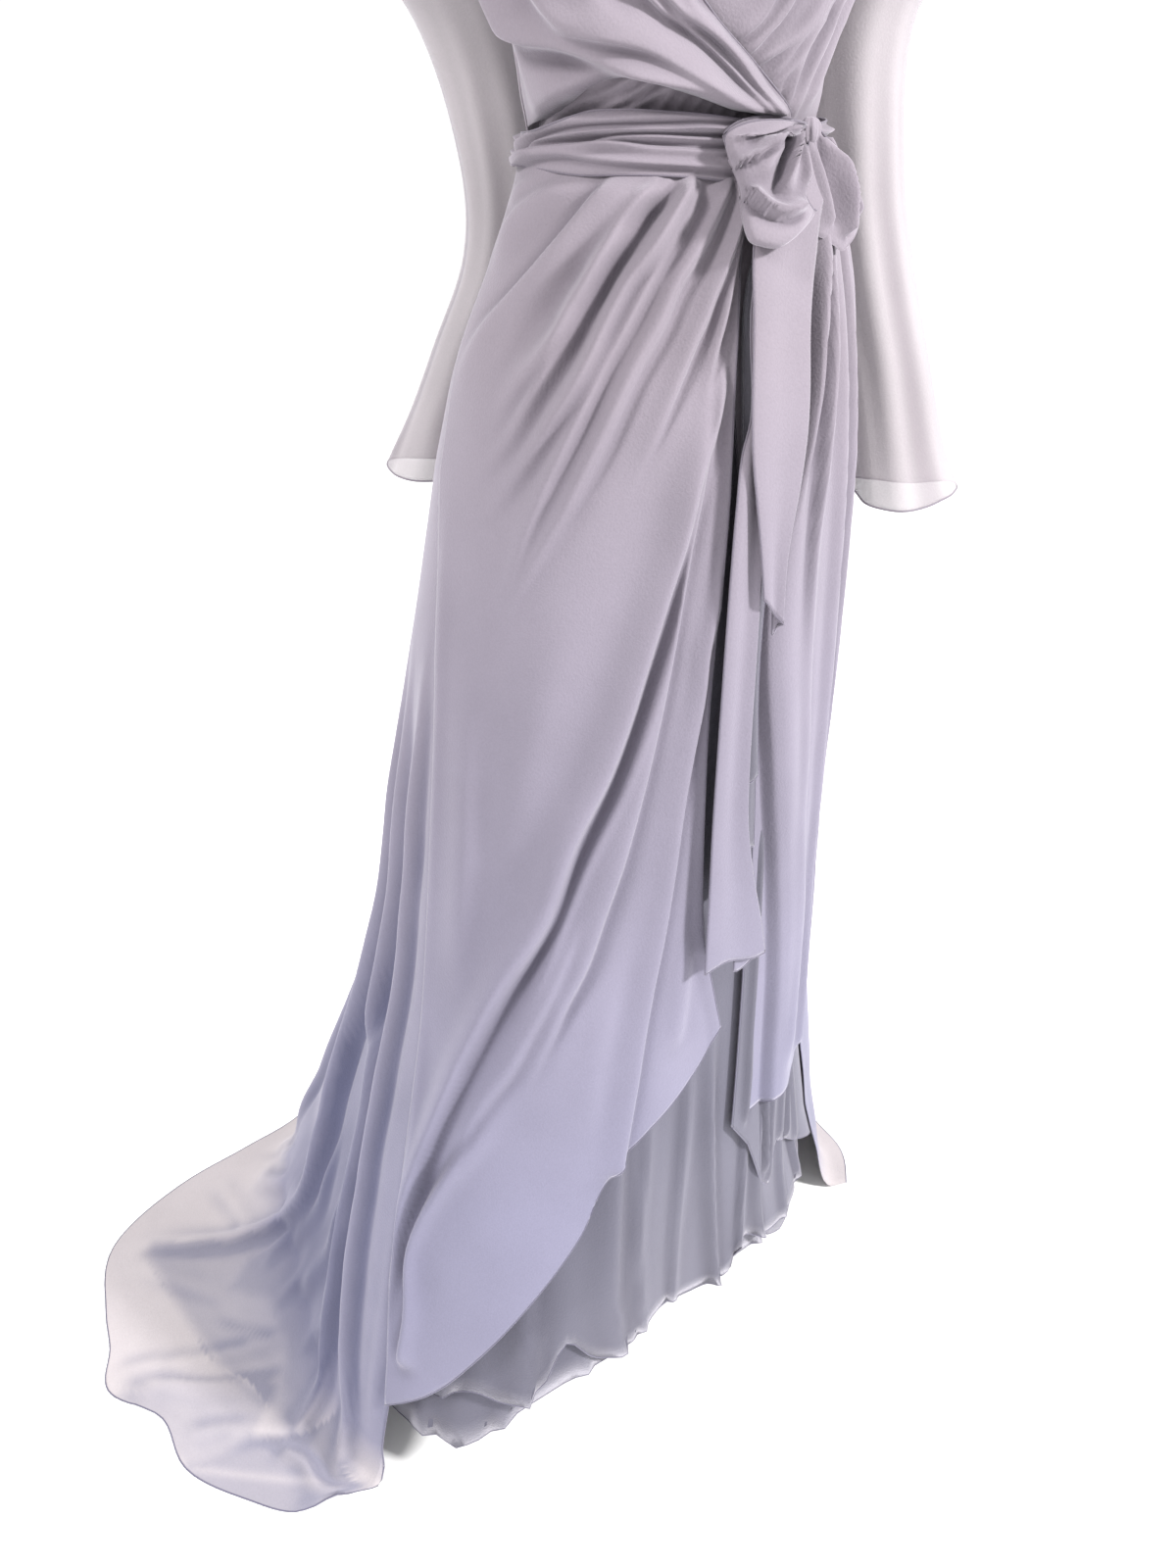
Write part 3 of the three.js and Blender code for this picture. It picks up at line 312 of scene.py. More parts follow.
# Folds of the right bodice front, from the side and the shoulder to the knot.
OVER_FOLDS = [
    fold([(-84, 1240), (-76, 1190), (-70, 1157), (-64, 1147), (-51, 1141), (-39, 1133), (-27, 1123),
          (-14, 1115),
          (-3, 1109), (8, 1103), (20, 1101)], (4, 8, 11, 8, 6, 4), (20, 22, 20, 16, 12, 8), -1, 0.45,
         (0.2, 0)),
    fold([(-72, 1108), (-52, 1112), (-40, 1119), (-31, 1122), (-25, 1120), (-13, 1115), (-3, 1109), (7, 1104),
          (20, 1102)], (4, 6, 6, 4, 3), (14, 12, 10, 8, 6), -1, 0.4, (0.2, 0)),
    fold([(-66, 1230), (-58, 1180), (-49, 1155), (-39.5, 1147), (-27, 1139), (-14, 1126), (-2, 1115),
          (11, 1106),
          (22, 1102)], (4, 6, 5, 4, 3), (16, 14, 11, 8, 6), -1, 0.5, (0.3, 0)),
    fold([(-56, 1240), (-45, 1180), (-36, 1155), (-26, 1146), (-13.5, 1134), (-4, 1123),
          (8, 1111)], 3.5, 10, 1, 0.6,
         (0.3, 0.2)),
    fold([(-50, 1290), (-42, 1230), (-32, 1180), (-23, 1155), (-15, 1146), (-6, 1135), (2, 1125),
          (10.5, 1114),
          (19, 1105), (27, 1101)], (3, 4, 5, 4, 3), (12, 10, 8, 6, 5), -1, 0.35, (0.2, 0)),
    fold([(-46, 1280), (-38, 1230), (-27, 1180), (-17.5, 1155), (-10, 1147), (-2, 1138), (6, 1127),
          (14, 1115),
          (22, 1105), (29, 1101)], (2, 3, 4, 4, 3), (9, 8, 6, 5, 4), -1, 0.4, (0.2, 0)),
    fold([(-41, 1270), (-33, 1220), (-22, 1180), (-12, 1155), (-5, 1146), (3, 1135), (12, 1124), (19.5, 1113),
          (27, 1103)], (2, 3, 3.5, 3, 2), (8, 6, 5, 4, 3.5), 1, 0.5, (0.2, 0)),
    fold([(-84, 1180), (-78, 1147), (-65, 1133), (-56, 1121), (-52, 1112)], 3, 18, 1, 0.8, (0.3, 0.3)),
    fold([(-80, 1330), (-74, 1270), (-66, 1210), (-60, 1180)], 3, 16, 1, 0.7, (0.3, 0.4)),
    fold([(-66, 1370), (-60, 1310), (-52, 1240), (-44, 1190)], 2.5, 12, -1, 0.7, (0.3, 0.4)),
]
# Folds of the left bodice front: the pleats that run to the knot, then the gathers under the blouson.
UNDER_FOLDS = [
    fold([(26, 1200), (16.5, 1156), (13, 1146), (8, 1139)], 3, 6, 1, 0.5, (0.2, 0)),
    fold([(34, 1205), (24, 1155), (18.6, 1142), (13, 1132)], 4, 7, 1, 0.35, (0.2, 0)),
    fold([(43, 1210), (36, 1155), (33, 1142), (24, 1132), (17, 1126)], 4, 6, 1, 0.4, (0.2, 0)),
    fold([(50, 1220), (40, 1165), (36, 1146), (31, 1133), (24.7, 1121)], 3.5, 5, 1, 0.4, (0.2, 0)),
    fold([(54, 1215), (43, 1165), (35, 1135), (31, 1124), (26, 1114)], 3.5, 5, 1, 0.4, (0.2, 0)),
    fold([(60, 1215), (46, 1160), (33, 1125), (30, 1115), (28, 1107)], 3, 4, 1, 0.5, (0.2, 0)),
    fold([(66, 1260), (52, 1200), (38.4, 1158), (38, 1146), (35, 1128), (33.4, 1116),
          (32, 1103)], 5, 7, -1, 0.4,
         (0.2, 0)),
    fold([(76, 1260), (62, 1200), (48.5, 1159), (49, 1144), (43, 1123), (38.6, 1109),
          (36, 1101)], 5, 8, -1, 0.35,
         (0.2, 0)),
    fold([(84, 1240), (72, 1180), (60, 1140), (50, 1114), (44, 1100)], 4, 8, -1, 0.5, (0.2, 0.1)),
    fold([(-22, 1119), (-28, 1113), (-36, 1106), (-46, 1099), (-54, 1092)], 3.5, 5, 1, 0.5, (0, 0)),
    fold([(-16, 1117), (-21, 1111), (-27, 1106), (-34, 1099), (-40, 1092)], 3.5, 4, 1, 0.5, (0, 0)),
    fold([(-13, 1117), (-18, 1110), (-22, 1101), (-25, 1092)], 3.5, 4, 1, 0.5, (0, 0)),
    fold([(-9, 1116), (-13, 1108), (-16, 1098), (-18, 1092)], 3, 3.5, 1, 0.5, (0, 0)),
    fold([(-4, 1112), (-7, 1105), (-9, 1099), (-10, 1092)], 3, 3.5, 1, 0.5, (0, 0)),
    fold([(0, 1110), (-2, 1102), (-5, 1096), (-6, 1090)], 3, 3.5, 1, 0.5, (0, 0)),
    fold([(5, 1107), (3, 1099), (0, 1093)], 3, 3.5, 1, 0.5, (0, 0)),
    fold([(11, 1105), (9, 1098), (7, 1090)], 3, 3.5, 1, 0.5, (0, 0)),
    fold([(17, 1104), (15, 1097), (14, 1090)], 3, 3.5, 1, 0.5, (0, 0)),
    fold([(-30, 1119), (-42, 1110), (-56, 1103), (-70, 1094)], 3, 6, 1, 0.5, (0, 0)),
    fold([(-40, 1119), (-54, 1112), (-70, 1105), (-80, 1096)], 3, 6, 1, 0.5, (0, 0)),
]
# Pleats of the sash: top edges of the wound bands, from the wearer's right side to the knot.
SASH_FOLDS = [
    fold([(-100, 1078), (-83, 1086), (-67, 1095), (-56, 1099), (-42, 1099), (-20, 1101), (0, 1099),
          (20, 1096)],
         2.5, 6, 1, 0.4, (0.1, 0)),
    fold([(-100, 1070), (-79, 1077), (-72, 1083), (-57, 1089), (-42, 1092), (-20, 1093), (-4, 1094),
          (14, 1091),
          (32, 1089)], 3, 5, 1, 0.3, (0.1, 0)),
    fold([(-88, 1072), (-73, 1078), (-58, 1081), (-49, 1082), (-39, 1086), (-25, 1087), (-12, 1086),
          (4, 1085),
          (20, 1085), (34, 1086)], 3, 4.5, 1, 0.3, (0.15, 0)),
    fold([(-64, 1078), (-51, 1081), (-38, 1082), (-25, 1080), (-12, 1079), (3, 1078), (20, 1079), (34, 1083)],
         2.5, 4, 1, 0.35, (0.3, 0)),
    fold([(-96, 1064), (-77, 1073), (-60, 1076), (-44, 1073), (-27, 1071), (-4, 1069), (5, 1068), (22, 1070),
          (36, 1078)], 2.5, 4.5, -1, 0.35, (0.1, 0)),
    fold([(-4, 1075), (10, 1073), (24, 1074), (36, 1080)], 2, 3, 1, 0.4, (0.4, 0)),
    fold([(48, 1090), (70, 1092), (100, 1092), (140, 1094), (180, 1092)], 3, 5, 1, 0.35, (0.1, 0)),
    fold([(48, 1084), (70, 1083), (100, 1084), (140, 1082), (180, 1083)], 3, 5, 1, 0.35, (0.1, 0)),
    fold([(48, 1077), (70, 1074), (100, 1073), (140, 1073), (180, 1072)], 3, 4.5, -1, 0.35, (0.1, 0)),
    fold([(-180, 1092), (-150, 1094), (-120, 1090), (-92, 1084)], 3, 5, 1, 0.35, (0, 0.1)),
    fold([(-180, 1083), (-150, 1082), (-120, 1080), (-92, 1076)], 3, 5, 1, 0.35, (0, 0.1)),
    fold([(-180, 1072), (-150, 1073), (-120, 1070), (-92, 1068)], 3, 4.5, -1, 0.35, (0, 0.1)),
]
SASH_LOW = 1063
SASH_HIGH = 1100
KNOT_TURN = 40
KNOT_HEIGHT = 1091
KNOT_STAND = 12.4
KNOT_SIZE = (8, 6, 8)

# Tails and cascade: height, turn of one edge, turn of the other edge, stand-off.
SHORT_TAIL = (
    (1079.4, 37, 43, 15), (1060, 20, 44, 17.4), (1028, 10, 34, 17.8), (983, 8, 27, 17.8),
    (912, 7, 24.5, 17.8), (843, 10, 19, 18), (800, 11.5, 17.8, 18),
)
LONG_TAIL = (
    (1079.4, 38, 42, 12), (1060, 24, 40, 12), (1000, 9.5, 24, 12), (931, 8, 20, 12),
    (893, 4.3, 14.5, 12), (783, 0.8, 11, 13), (659, -1.8, 9.4, 14), (600, -2.8, 11.5, 15.5),
             (560, -3.6, 14.5, 17),
    (520, -4.6, 17, 19),
)
CASCADE = (
    (1054, 26, 36, 0.2), (1000, 10, 26, 0.2), (900, 9, 22, -4), (760, 9, 16.5, -3),
    (650, 7, 18, -2), (570, 8, 19, -2),
)
# The bow: places are (slide, height, stand-off), a slide in mm along the waist from the knot. Each loop is a
# ribbon that fans out from the knot to its far fold and comes back behind.
FRONT_LOOP = {
    "start": [(-8, 1097, 15), (-11, 1095, 17), (-12, 1090, 16)],
    "lift": [(-5, 15), (-2, 6), (0, 0), (2, 0), (-7, 2)],
    "far": [(-60, 1078, 17), (-58.5, 1070, 18), (-57, 1063, 19), (-55, 1052, 22), (-56, 1036, 25),
            (-54, 1024, 26),
            (-48, 1020.5, 27), (-40, 1019.5, 27), (-31, 1024, 27), (-23, 1030, 27), (-15, 1038, 26)],
    "bulge": 13, "back": 3, "pleats": 3,
    "folds": [
        fold([(-14, 1094), (-22, 1086), (-27, 1076.6), (-31, 1065), (-34.5, 1055), (-38, 1047), (-40, 1040)],
             (3, 6, 7, 5, 2), (3, 4, 4.5, 5, 6), -1, 0.3, (0, 0.2)),
        fold([(-16, 1092), (-23, 1087), (-37, 1078), (-48, 1070), (-59, 1064)], 3, 4, 1, 0.25, (0.1, 0)),
        fold([(-56, 1050), (-53, 1045), (-48, 1039), (-43, 1035.5), (-38, 1034), (-31, 1036),
              (-23, 1040)], 4.5, 6, -1,
             0.3, (0.1, 0.2)),
        fold([(-18, 1098), (-30, 1096), (-42, 1090), (-55, 1080)], 2, 5, 1, 0.5, (0.1, 0.1)),
        fold([(-14, 1086), (-19, 1074), (-22, 1060), (-22, 1048)], 3, 4, 1, 0.4, (0.1, 0.2)),
        fold([(-30, 1084), (-40, 1066), (-46, 1052)], 2, 6, 1, 0.6, (0.3, 0.3)),
    ],
}
SIDE_LOOP = {
    "start": [(-2, 1090, 14), (2, 1093, 16), (5, 1092, 15)],
    "lift": [(-3, 2), (0, 2), (2, 4), (4, 6)],
    "far": [(-7, 1030, 10), (-2, 1026, 12), (4, 1022, 13), (9, 1018, 14), (13, 1019, 16), (18, 1023, 19),
            (25, 1028, 20),
            (31, 1033, 20)],
    "bulge": 6, "back": 2, "pleats": 2,
    "folds": [
        fold([(4, 1088), (8, 1076), (11, 1062), (12, 1044), (11, 1024)], (3, 6, 6, 4), 4, 1, 0.3, (0, 0.05)),
        fold([(0, 1086), (0, 1066), (2, 1046), (2, 1030)], 2, 4, 1, 0.5, (0.1, 0.1)),
        fold([(8, 1086), (16, 1064), (22, 1044), (24, 1032)], 2.5, 5, -1, 0.4, (0.1, 0.1)),
    ],
}

# Sleeve sections: height, centre x, centre y, half width, half depth, share that joins the armhole.
RIGHT_SLEEVE = (
    (1290, -197, 14, 39, 50, 0.5), (1230, -186, 52, 42, 46, 0), (1160, -122, 132, 38, 42, 0),
    (1070, -96, 150, 34, 36, 0), (1000, -92, 178, 35, 34, 0), (930, -116, 192, 38, 34, 0),
    (870, -138, 194, 42, 34, 0), (828, -150, 196, 50, 38, 0),
)
LEFT_SLEEVE = (
    (1290, 197, 14, 39, 50, 0.5), (1230, 184, 50, 42, 46, 0), (1160, 156, 82, 40, 44, 0),
    (1070, 158, 74, 38, 42, 0), (1000, 172, 68, 38, 42, 0), (930, 188, 52, 38, 42, 0),
    (870, 198, 34, 41, 42, 0), (832, 206, 24, 48, 46, 0),
)
# Lengthwise folds of a sleeve: angle round it, depth, width in degrees, how far each drifts down it.
SLEEVE_FOLDS = ((20, 3.5, 16, 14), (62, 2.5, 12, -10), (100, 4, 18, 12), (150, 3, 14, -8), (196, 3.5, 16, 10),
                (238, 2.5, 12, 8), (282, 4, 18, -12), (330, 3, 13, 8))


def lerp(a, b, t):
    return a + (b - a) * t


def smooth(t):
    t = np.clip(t, 0, 1)
    return t * t * (3 - 2 * t)


def through_four(a, b, c, d, t):
    """A smooth curve through four values, at t between the middle two."""
    return 0.5 * (2 * b + (c - a) * t + (2 * a - 5 * b + 4 * c - d) * t**2 + (3 * b - a - 3 * c + d) * t**3)


def smooth_line(points, steps=4):
    """A line of points with smooth ones worked out between them."""
    points = np.array(points, float)
    ends = np.vstack([2 * points[0] - points[1], points, 2 * points[-1] - points[-2]])
    t = np.arange(steps)[:, None] / steps
    spans = [through_four(*ends[k:k + 4], t) for k in range(len(points) - 1)]
    return np.vstack([*spans, points[-1:]])


def look_up(table, at, column=1):
    """Reads a column of a table at a value of its first column, straight between rows."""
    rows = np.array(sorted(table), float)
    return np.interp(at, rows[:, 0], rows[:, column])


def look_up_smooth(table, at, column=1):
    """As look_up, on a smooth line through the table's rows."""
    rows = smooth_line(sorted(table), 6)
    order = np.argsort(rows[:, 0], kind="stable")
    return np.interp(at, rows[order, 0], rows[order, column])


def sheath_width(turn, height):
    turn, height = np.broadcast_arrays(np.asarray(turn, float), np.asarray(height, float))
    place = (turn % 360) / SHEATH_STEP
    first = np.floor(place).astype(int)
    share = place - first
    last = len(SHEATH) - 1
    k = np.clip(np.searchsorted(-SHEATH_HEIGHTS, -height, side="left"), 1, last)

    def in_row(row):
        row = np.clip(row, 0, last)
        around = [SHEATH_WIDTHS[row, (first + step) % SHEATH_WIDTHS.shape[1]] for step in (-1, 0, 1, 2)]
        return through_four(*around, share)

    span = SHEATH_HEIGHTS[k - 1] - SHEATH_HEIGHTS[k]
    down = np.clip((SHEATH_HEIGHTS[k - 1] - height) / span, 0, 1)
    return through_four(in_row(k - 2), in_row(k - 1), in_row(k), in_row(k + 1), down)


def at_turn(turn, width, height):
    angle = np.radians(turn)
    return np.stack([width * np.sin(angle), -width * np.cos(angle), height + 0 * width], axis=-1)


def sheath_point(turn, height):
    """A point of the sheath. Heights under FLOOR_START_HEIGHT run out over the floor as the train."""
    turn, height = np.broadcast_arrays(np.asarray(turn, float), np.asarray(height, float))
    share = np.clip(1 - height / FLOOR_START_HEIGHT, 0, 1)
    start = sheath_width(turn, np.maximum(height, FLOOR_START_HEIGHT))
    reach = np.maximum(look_up_smooth(TRAIN_REACH, turn % 360), start + 2)
    lying = height < FLOOR_START_HEIGHT
    width = np.where(lying, lerp(start, reach, share), start)
    return at_turn(turn, width, np.where(lying, FLOOR_START_HEIGHT * (1 - share) ** 4, height))


def sheath_normal(turn, height):
    low = np.maximum(height - 2, 0)
    across = sheath_point(turn + 0.5, height) - sheath_point(turn - 0.5, height)
    up = sheath_point(turn, height + 2) - sheath_point(turn, low)
    normal = np.cross(across, up)
    return normal / np.linalg.norm(normal, axis=-1, keepdims=True)


def on_sheath(turn, height, out):
    """Points moved out from the sheath, where panels, their folds and their layers lie."""
    out = np.asarray(out, float)[..., None]
    return sheath_point(turn, height) + sheath_normal(turn, height) * out


def flat_place(turn, height):
    """A place on the sheath as flat millimetres, so that distances along the cloth can be measured."""
    mean = np.interp(height, SHEATH_HEIGHTS[::-1], SHEATH_WIDTHS.mean(axis=1)[::-1])
    under = np.clip(FLOOR_START_HEIGHT - height, 0, None)
    return np.radians(turn) * (mean + under * 1.6), np.maximum(height, FLOOR_START_HEIGHT) - under * 2.6


def along(values, share):
    """A number, or a list of numbers spread evenly from a line's start to its end."""
    values = np.atleast_1d(values)
    return np.interp(share, np.linspace(0, 1, len(values)), values)


def fold_height(at, normal, line, depth, width, side, lip, fade):
    """How far one fold stands out at each point of a surface with these normals.

    The fold's line is in the same space as the points.
    """
    total = np.zeros(at.shape[:-1])
    reach = 3.2 * np.max(width)
    near = ((at > line.min(axis=0) - reach) & (at < line.max(axis=0) + reach)).all(axis=-1)
    if not near.any():
        return total
    here, up = at[near], np.broadcast_to(normal, at.shape)[near]
    best = np.full(len(here), np.inf)
    hand, share = np.ones(len(here)), np.zeros(len(here))
    steps = np.linalg.norm(np.diff(line, axis=0), axis=1)
    before = np.concatenate([[0], np.cumsum(steps)])
    for k, length in enumerate(steps):
        ahead = (line[k + 1] - line[k]) / length
        away = here - line[k]
        t = np.clip(away @ ahead, 0, length)
        far = ((away - t[:, None] * ahead) ** 2).sum(axis=1)
        nearer = far < best
        best = np.where(nearer, far, best)
        hand = np.where(nearer, np.sign((np.cross(ahead, away) * up).sum(axis=1)), hand)
        share = np.where(nearer, (before[k] + t) / before[-1], share)
    off = np.sqrt(best) * hand * side / (SPREAD * along(width, share))
    gentle = np.exp(-off**2)
    steep = 1.6 * np.exp(-(off / lip) ** 2) - 0.6 * np.exp(-(off / (2.3 * lip)) ** 2)
    ends = 1.0
    if fade[0]:
        ends = ends * smooth(share / fade[0])
    if fade[1]:
        ends = ends * smooth((1 - share) / fade[1])
    total[near] = RELIEF * along(depth, share) * np.where(off < 0, gentle, steep) * ends
    return total


def flat_point(turn, height):
    x, y = flat_place(turn, height)
    return np.stack([x, y, 0 * x], axis=-1)


def folds(turn, height, table, point=flat_point, normal=(0, 0, 1)):
    """The folds of a table at each place, measured on the flattened cloth or on the given surface."""
    at = point(turn, height)
    lines = (point(*smooth_line(one["line"]).T) for one in table)
    return sum(fold_height(at, normal, **{**one, "line": line}) for one, line in zip(table, lines))


def inside(turn, height, outline, blur):
    """A share from 0 outside an outline of (turn, height) places to 1 inside it."""
    at = sheath_point(turn, height)
    corners = np.array([*outline, outline[0]], float)
    line = sheath_point(*corners.T)
    within = np.zeros(at.shape[:-1], bool)
    nearest = np.full(at.shape[:-1], np.inf)
    for (turn_0, height_0), (turn_1, height_1), start, end in zip(corners, corners[1:], line, line[1:]):
        if height_0 != height_1:
            meets = turn_0 + (turn_1 - turn_0) * (height - height_0) / (height_1 - height_0)
            within ^= ((height_0 > height) != (height_1 > height)) & (turn < meets)
        span = end - start
        t = np.clip((at - start) @ span / (span @ span), 0, 1)
        nearest = np.minimum(nearest, np.linalg.norm(at - start - t[..., None] * span, axis=-1))
    return smooth(0.5 + np.where(within, nearest, -nearest) / blur)


def loosen(height):
    """How open the layers are below the waist, from 0 at the seam to 1."""
    return smooth((WAIST_HEIGHT - 6 - height) / 160)


def ripple(turn, height, size):
    """A faint unevenness of hanging cloth."""
    x, y = flat_place(turn, height)
    slow = np.sin(x / 23 + 1.7 * np.sin(y / 140)) * np.sin(y / 95 + 0.8 * np.sin(x / 60))
    quick = np.sin(x / 11 + 2.1 * np.sin(y / 70) + 0.6) * np.sin(y / 57 + 1.1)
    return size * (0.65 * slow + 0.35 * quick)


def to_metres(points):
    return (np.asarray(points, float) - (0, 0, SHOULDER_HEIGHT)) * MM


def grid_faces(rows, columns, offset, turned, round_it):
    spans = columns if round_it else columns - 1
    i, j = np.meshgrid(np.arange(rows - 1), np.arange(spans), indexing="ij")
    k = (j + 1) % columns
    faces = np.stack([i * columns + j, (i + 1) * columns + j,
                      (i + 1) * columns + k, i * columns + k], axis=-1)
    faces = faces.reshape(-1, 4) + offset
    return faces[:, ::-1] if turned else faces


def rim_faces(loop, size, closed):
    after = np.roll(loop, -1) if closed else loop[1:]
    start = loop if closed else loop[:-1]
    return np.stack([start, after, after + size, start + size], axis=-1)


def tube(path, radius, closed, sides=6):
    """A thin tube along a path of points: the rolled edge of a hem."""
    ahead = np.roll(path, -1, axis=0) if closed else np.vstack([path[1:], path[-1:]])
    behind = np.roll(path, 1, axis=0) if closed else np.vstack([path[:1], path[:-1]])
    along_it = ahead - behind
    along_it /= np.linalg.norm(along_it, axis=1, keepdims=True) + 1e-9
    helper = np.where(np.abs(along_it[:, 2:3]) > 0.9, (1.0, 0, 0), (0, 0, 1.0))
    first = np.cross(along_it, helper)
    first /= np.linalg.norm(first, axis=1, keepdims=True)
    second = np.cross(along_it, first)
    angles = np.arange(sides) * 2 * np.pi / sides
    ring = first[:, None] * np.cos(angles)[:, None] + second[:, None] * np.sin(angles)[:, None]
    points = path[:, None] + radius * ring
    count = len(path)
    i, j = np.meshgrid(np.arange(count if closed else count - 1), np.arange(sides), indexing="ij")
    n, k = (i + 1) % count, (j + 1) % sides
    faces = np.stack([i * sides + j, i * sides + k, n * sides + k, n * sides + j], axis=-1).reshape(-1, 4)
    caps = [] if closed else [list(range(sides))[::-1], [(count - 1) * sides + s for s in range(sides)]]
    return points.reshape(-1, 3), faces.tolist() + caps


# Painted shade: the share below darkens creases and hollows through the tone attribute.
def hollows(out):
    """How far each place of a grid of stand-offs lies under those around it, from 0 to 1."""
    near = out
    for _ in range(HOLLOW_PASSES):
        padded = np.pad(near, 1, mode="edge")
        near = (padded[:-2, 1:-1] + padded[2:, 1:-1] + padded[1:-1, :-2] + padded[1:-1, 2:] + 2 * near) / 6
    hollow = np.clip((near - out) / HOLLOW_DEPTH, 0, 1)
    for _ in range(2):
        hollow[1:-1, 1:-1] = (hollow[:-2, 1:-1] + hollow[2:, 1:-1] + hollow[1:-1, :-2] + hollow[1:-1, 2:]) / 4
    return hollow


def relaxed(points, passes):
    """A grid of points evened out inside its borders, which stay."""
    points = points.copy()
    for _ in range(passes):
        around = points[:-2, 1:-1] + points[2:, 1:-1] + points[1:-1, :-2] + points[1:-1, 2:]
        points[1:-1, 1:-1] = lerp(points[1:-1, 1:-1], around / 4, 0.5)
    return points


def make_mesh(name, points, faces, hem_from, materials, tone=None):
    mesh = bpy.data.meshes.new(f"{name}_cloth")
    mesh.from_pydata(to_metres(points).tolist(), [], faces)
    for material in materials:
        mesh.materials.append(material)
    index = np.zeros(len(mesh.polygons), np.int32)
    index[hem_from:] = 1
    mesh.polygons.foreach_set("material_index", index)
    mesh.polygons.foreach_set("use_smooth", np.ones(len(mesh.polygons), bool))
    if tone is not None:
        every = np.zeros(len(points), np.float32)
        every[:len(tone)] = tone
        mesh.attributes.new("tone", "FLOAT", "POINT").data.foreach_set("value", every)
    mesh.validate()
    mesh.update()
    piece = bpy.data.objects.new(f"{name}_cloth", mesh)
    bpy.context.scene.collection.objects.link(piece)
    return piece


def shell(name, outer, inner, materials, round_it=False, hems=("bottom",), turned=False, tone=None):
    """Cloth as a thin closed shell from two grids of points, with a rolled edge along its hems."""
    rows, columns = outer.shape[:2]
    size = rows * columns
    points = np.vstack([outer.reshape(-1, 3), inner.reshape(-1, 3)])
    points[:, 2] = np.maximum(points[:, 2], 0.3)
    faces = [grid_faces(rows, columns, 0, turned, round_it),
             grid_faces(rows, columns, size, not turned, round_it)]
    top = np.arange(columns)
    bottom = (rows - 1) * columns + top
    first = np.arange(rows) * columns
    last = first + columns - 1
    edges = [(top, not turned), (bottom, turned)]
    if not round_it:
        edges += [(first, turned), (last, not turned)]
    for loop, flip in edges:
        rim = rim_faces(loop, size, round_it)
        faces.append(rim if flip else rim[:, ::-1])
    faces = np.vstack(faces).tolist()
    hem_from = len(faces)
    where = {"top": top, "bottom": bottom, "first": first, "last": last}
    for edge in hems:
        loop = where[edge]
        path = (points[loop] + points[loop + size]) / 2
        extra, more = tube(path, HEM_RADIUS, round_it and edge in ("top", "bottom"))
        faces += [[k + len(points) for k in face] for face in more]
        points = np.vstack([points, extra])
    both = None if tone is None else np.tile(tone.ravel(), 2)
    return make_mesh(name, points, faces, hem_from, materials, both)


def panel(name, rows, columns, place, materials, round_it=False, hems=("bottom",), passes=1):
    """A panel over the sheath. place(across, down) gives turns, heights and stand-offs of its outer face."""
    count = columns if round_it else columns + 1
    down, across = np.meshgrid(np.arange(rows + 1) / rows, np.arange(count) / columns, indexing="ij")
    turn, height, out, *layered_and_shaded = place(across, down)
    outer = relaxed(on_sheath(turn, height, out), passes)
    inner = outer - sheath_normal(turn, height) * CLOTH
    # The tone attribute: painted shade in hollows, plus any shares that place gives, which on the train are
    # partly doubled cloth and partly painted shade.
    tone = np.clip(hollows(out) + sum(layered_and_shaded), 0, 1)
    return shell(name, outer, inner, materials, round_it, hems, tone=tone)


def skirt_front_right(materials):
    def place(across, down):
        hem_turn = lerp(RIGHT_SEAM[-1][1], RIGHT_LEAD[-1][1], across)
        hem = look_up_smooth(RIGHT_PETAL_HEM, hem_turn)
        height = lerp(WAIST_HEIGHT, hem, down**ROW_SPREAD)
        seam = look_up_smooth(RIGHT_SEAM, height)
        lead = look_up_smooth(RIGHT_LEAD, height)
        fanned = 1 - (1 - across) ** 3
        turn = lerp(seam, lead, lerp(fanned, across, smooth(down * 1.6)))
        near_lead = smooth((across - 0.94) / 0.06)
        near_seam = smooth(1 - across / 0.03)
        lift = 3 * near_lead * loosen(height)
        below = lerp(0.12, 1, smooth((SASH_LOW + 5 - height) / 16))
        fold_out = folds(turn, height, RIGHT_FOLDS) * (1 - 0.8 * near_seam) * below
        sag = ripple(turn, height, 1.2) * loosen(height)
        return turn, height, 1.6 + fold_out + lift + sag

    return panel("skirt_front_right", 280, 150, place, materials, hems=("bottom", "last"), passes=4)


def skirt_front_left(materials):
    ridge_share = 0.3

    def place(across, down):
        hem_turn = lerp(LEFT_LEAD[-1][1], LEFT_SEAM_TURN, across)
        hem = look_up_smooth(LEFT_PETAL_HEM, hem_turn)
        height = lerp(WAIST_HEIGHT, hem, down**ROW_SPREAD)
        lead = look_up_smooth(LEFT_LEAD, height)
        ridge = look_up_smooth(LEFT_RIDGE, height)
        before = lerp(lead, ridge, across / ridge_share)
        after = lerp(ridge, LEFT_SEAM_TURN - SEAM_GAP_TURN, (across - ridge_share) / (1 - ridge_share))
        turn = np.where(across < ridge_share, before, after)
        open_ = loosen(height)
        recess = -11 * open_ * smooth((ridge + 1 - turn) / 4) - 3 * smooth((ridge - 8 - turn) / 6)
        crest = look_up_smooth(LEFT_CREST, height) * np.exp(-(((turn - ridge - 7) / 6) ** 2))
        beyond = smooth((turn - ridge) / 4)
        hang = (crest + folds(turn, height, LEFT_FOLDS)) * beyond + ripple(turn, height, 1) * open_
        return turn, height, -LAYER + recess + hang

    return panel("skirt_front_left", 220, 96, place, materials, hems=("bottom", "first"))


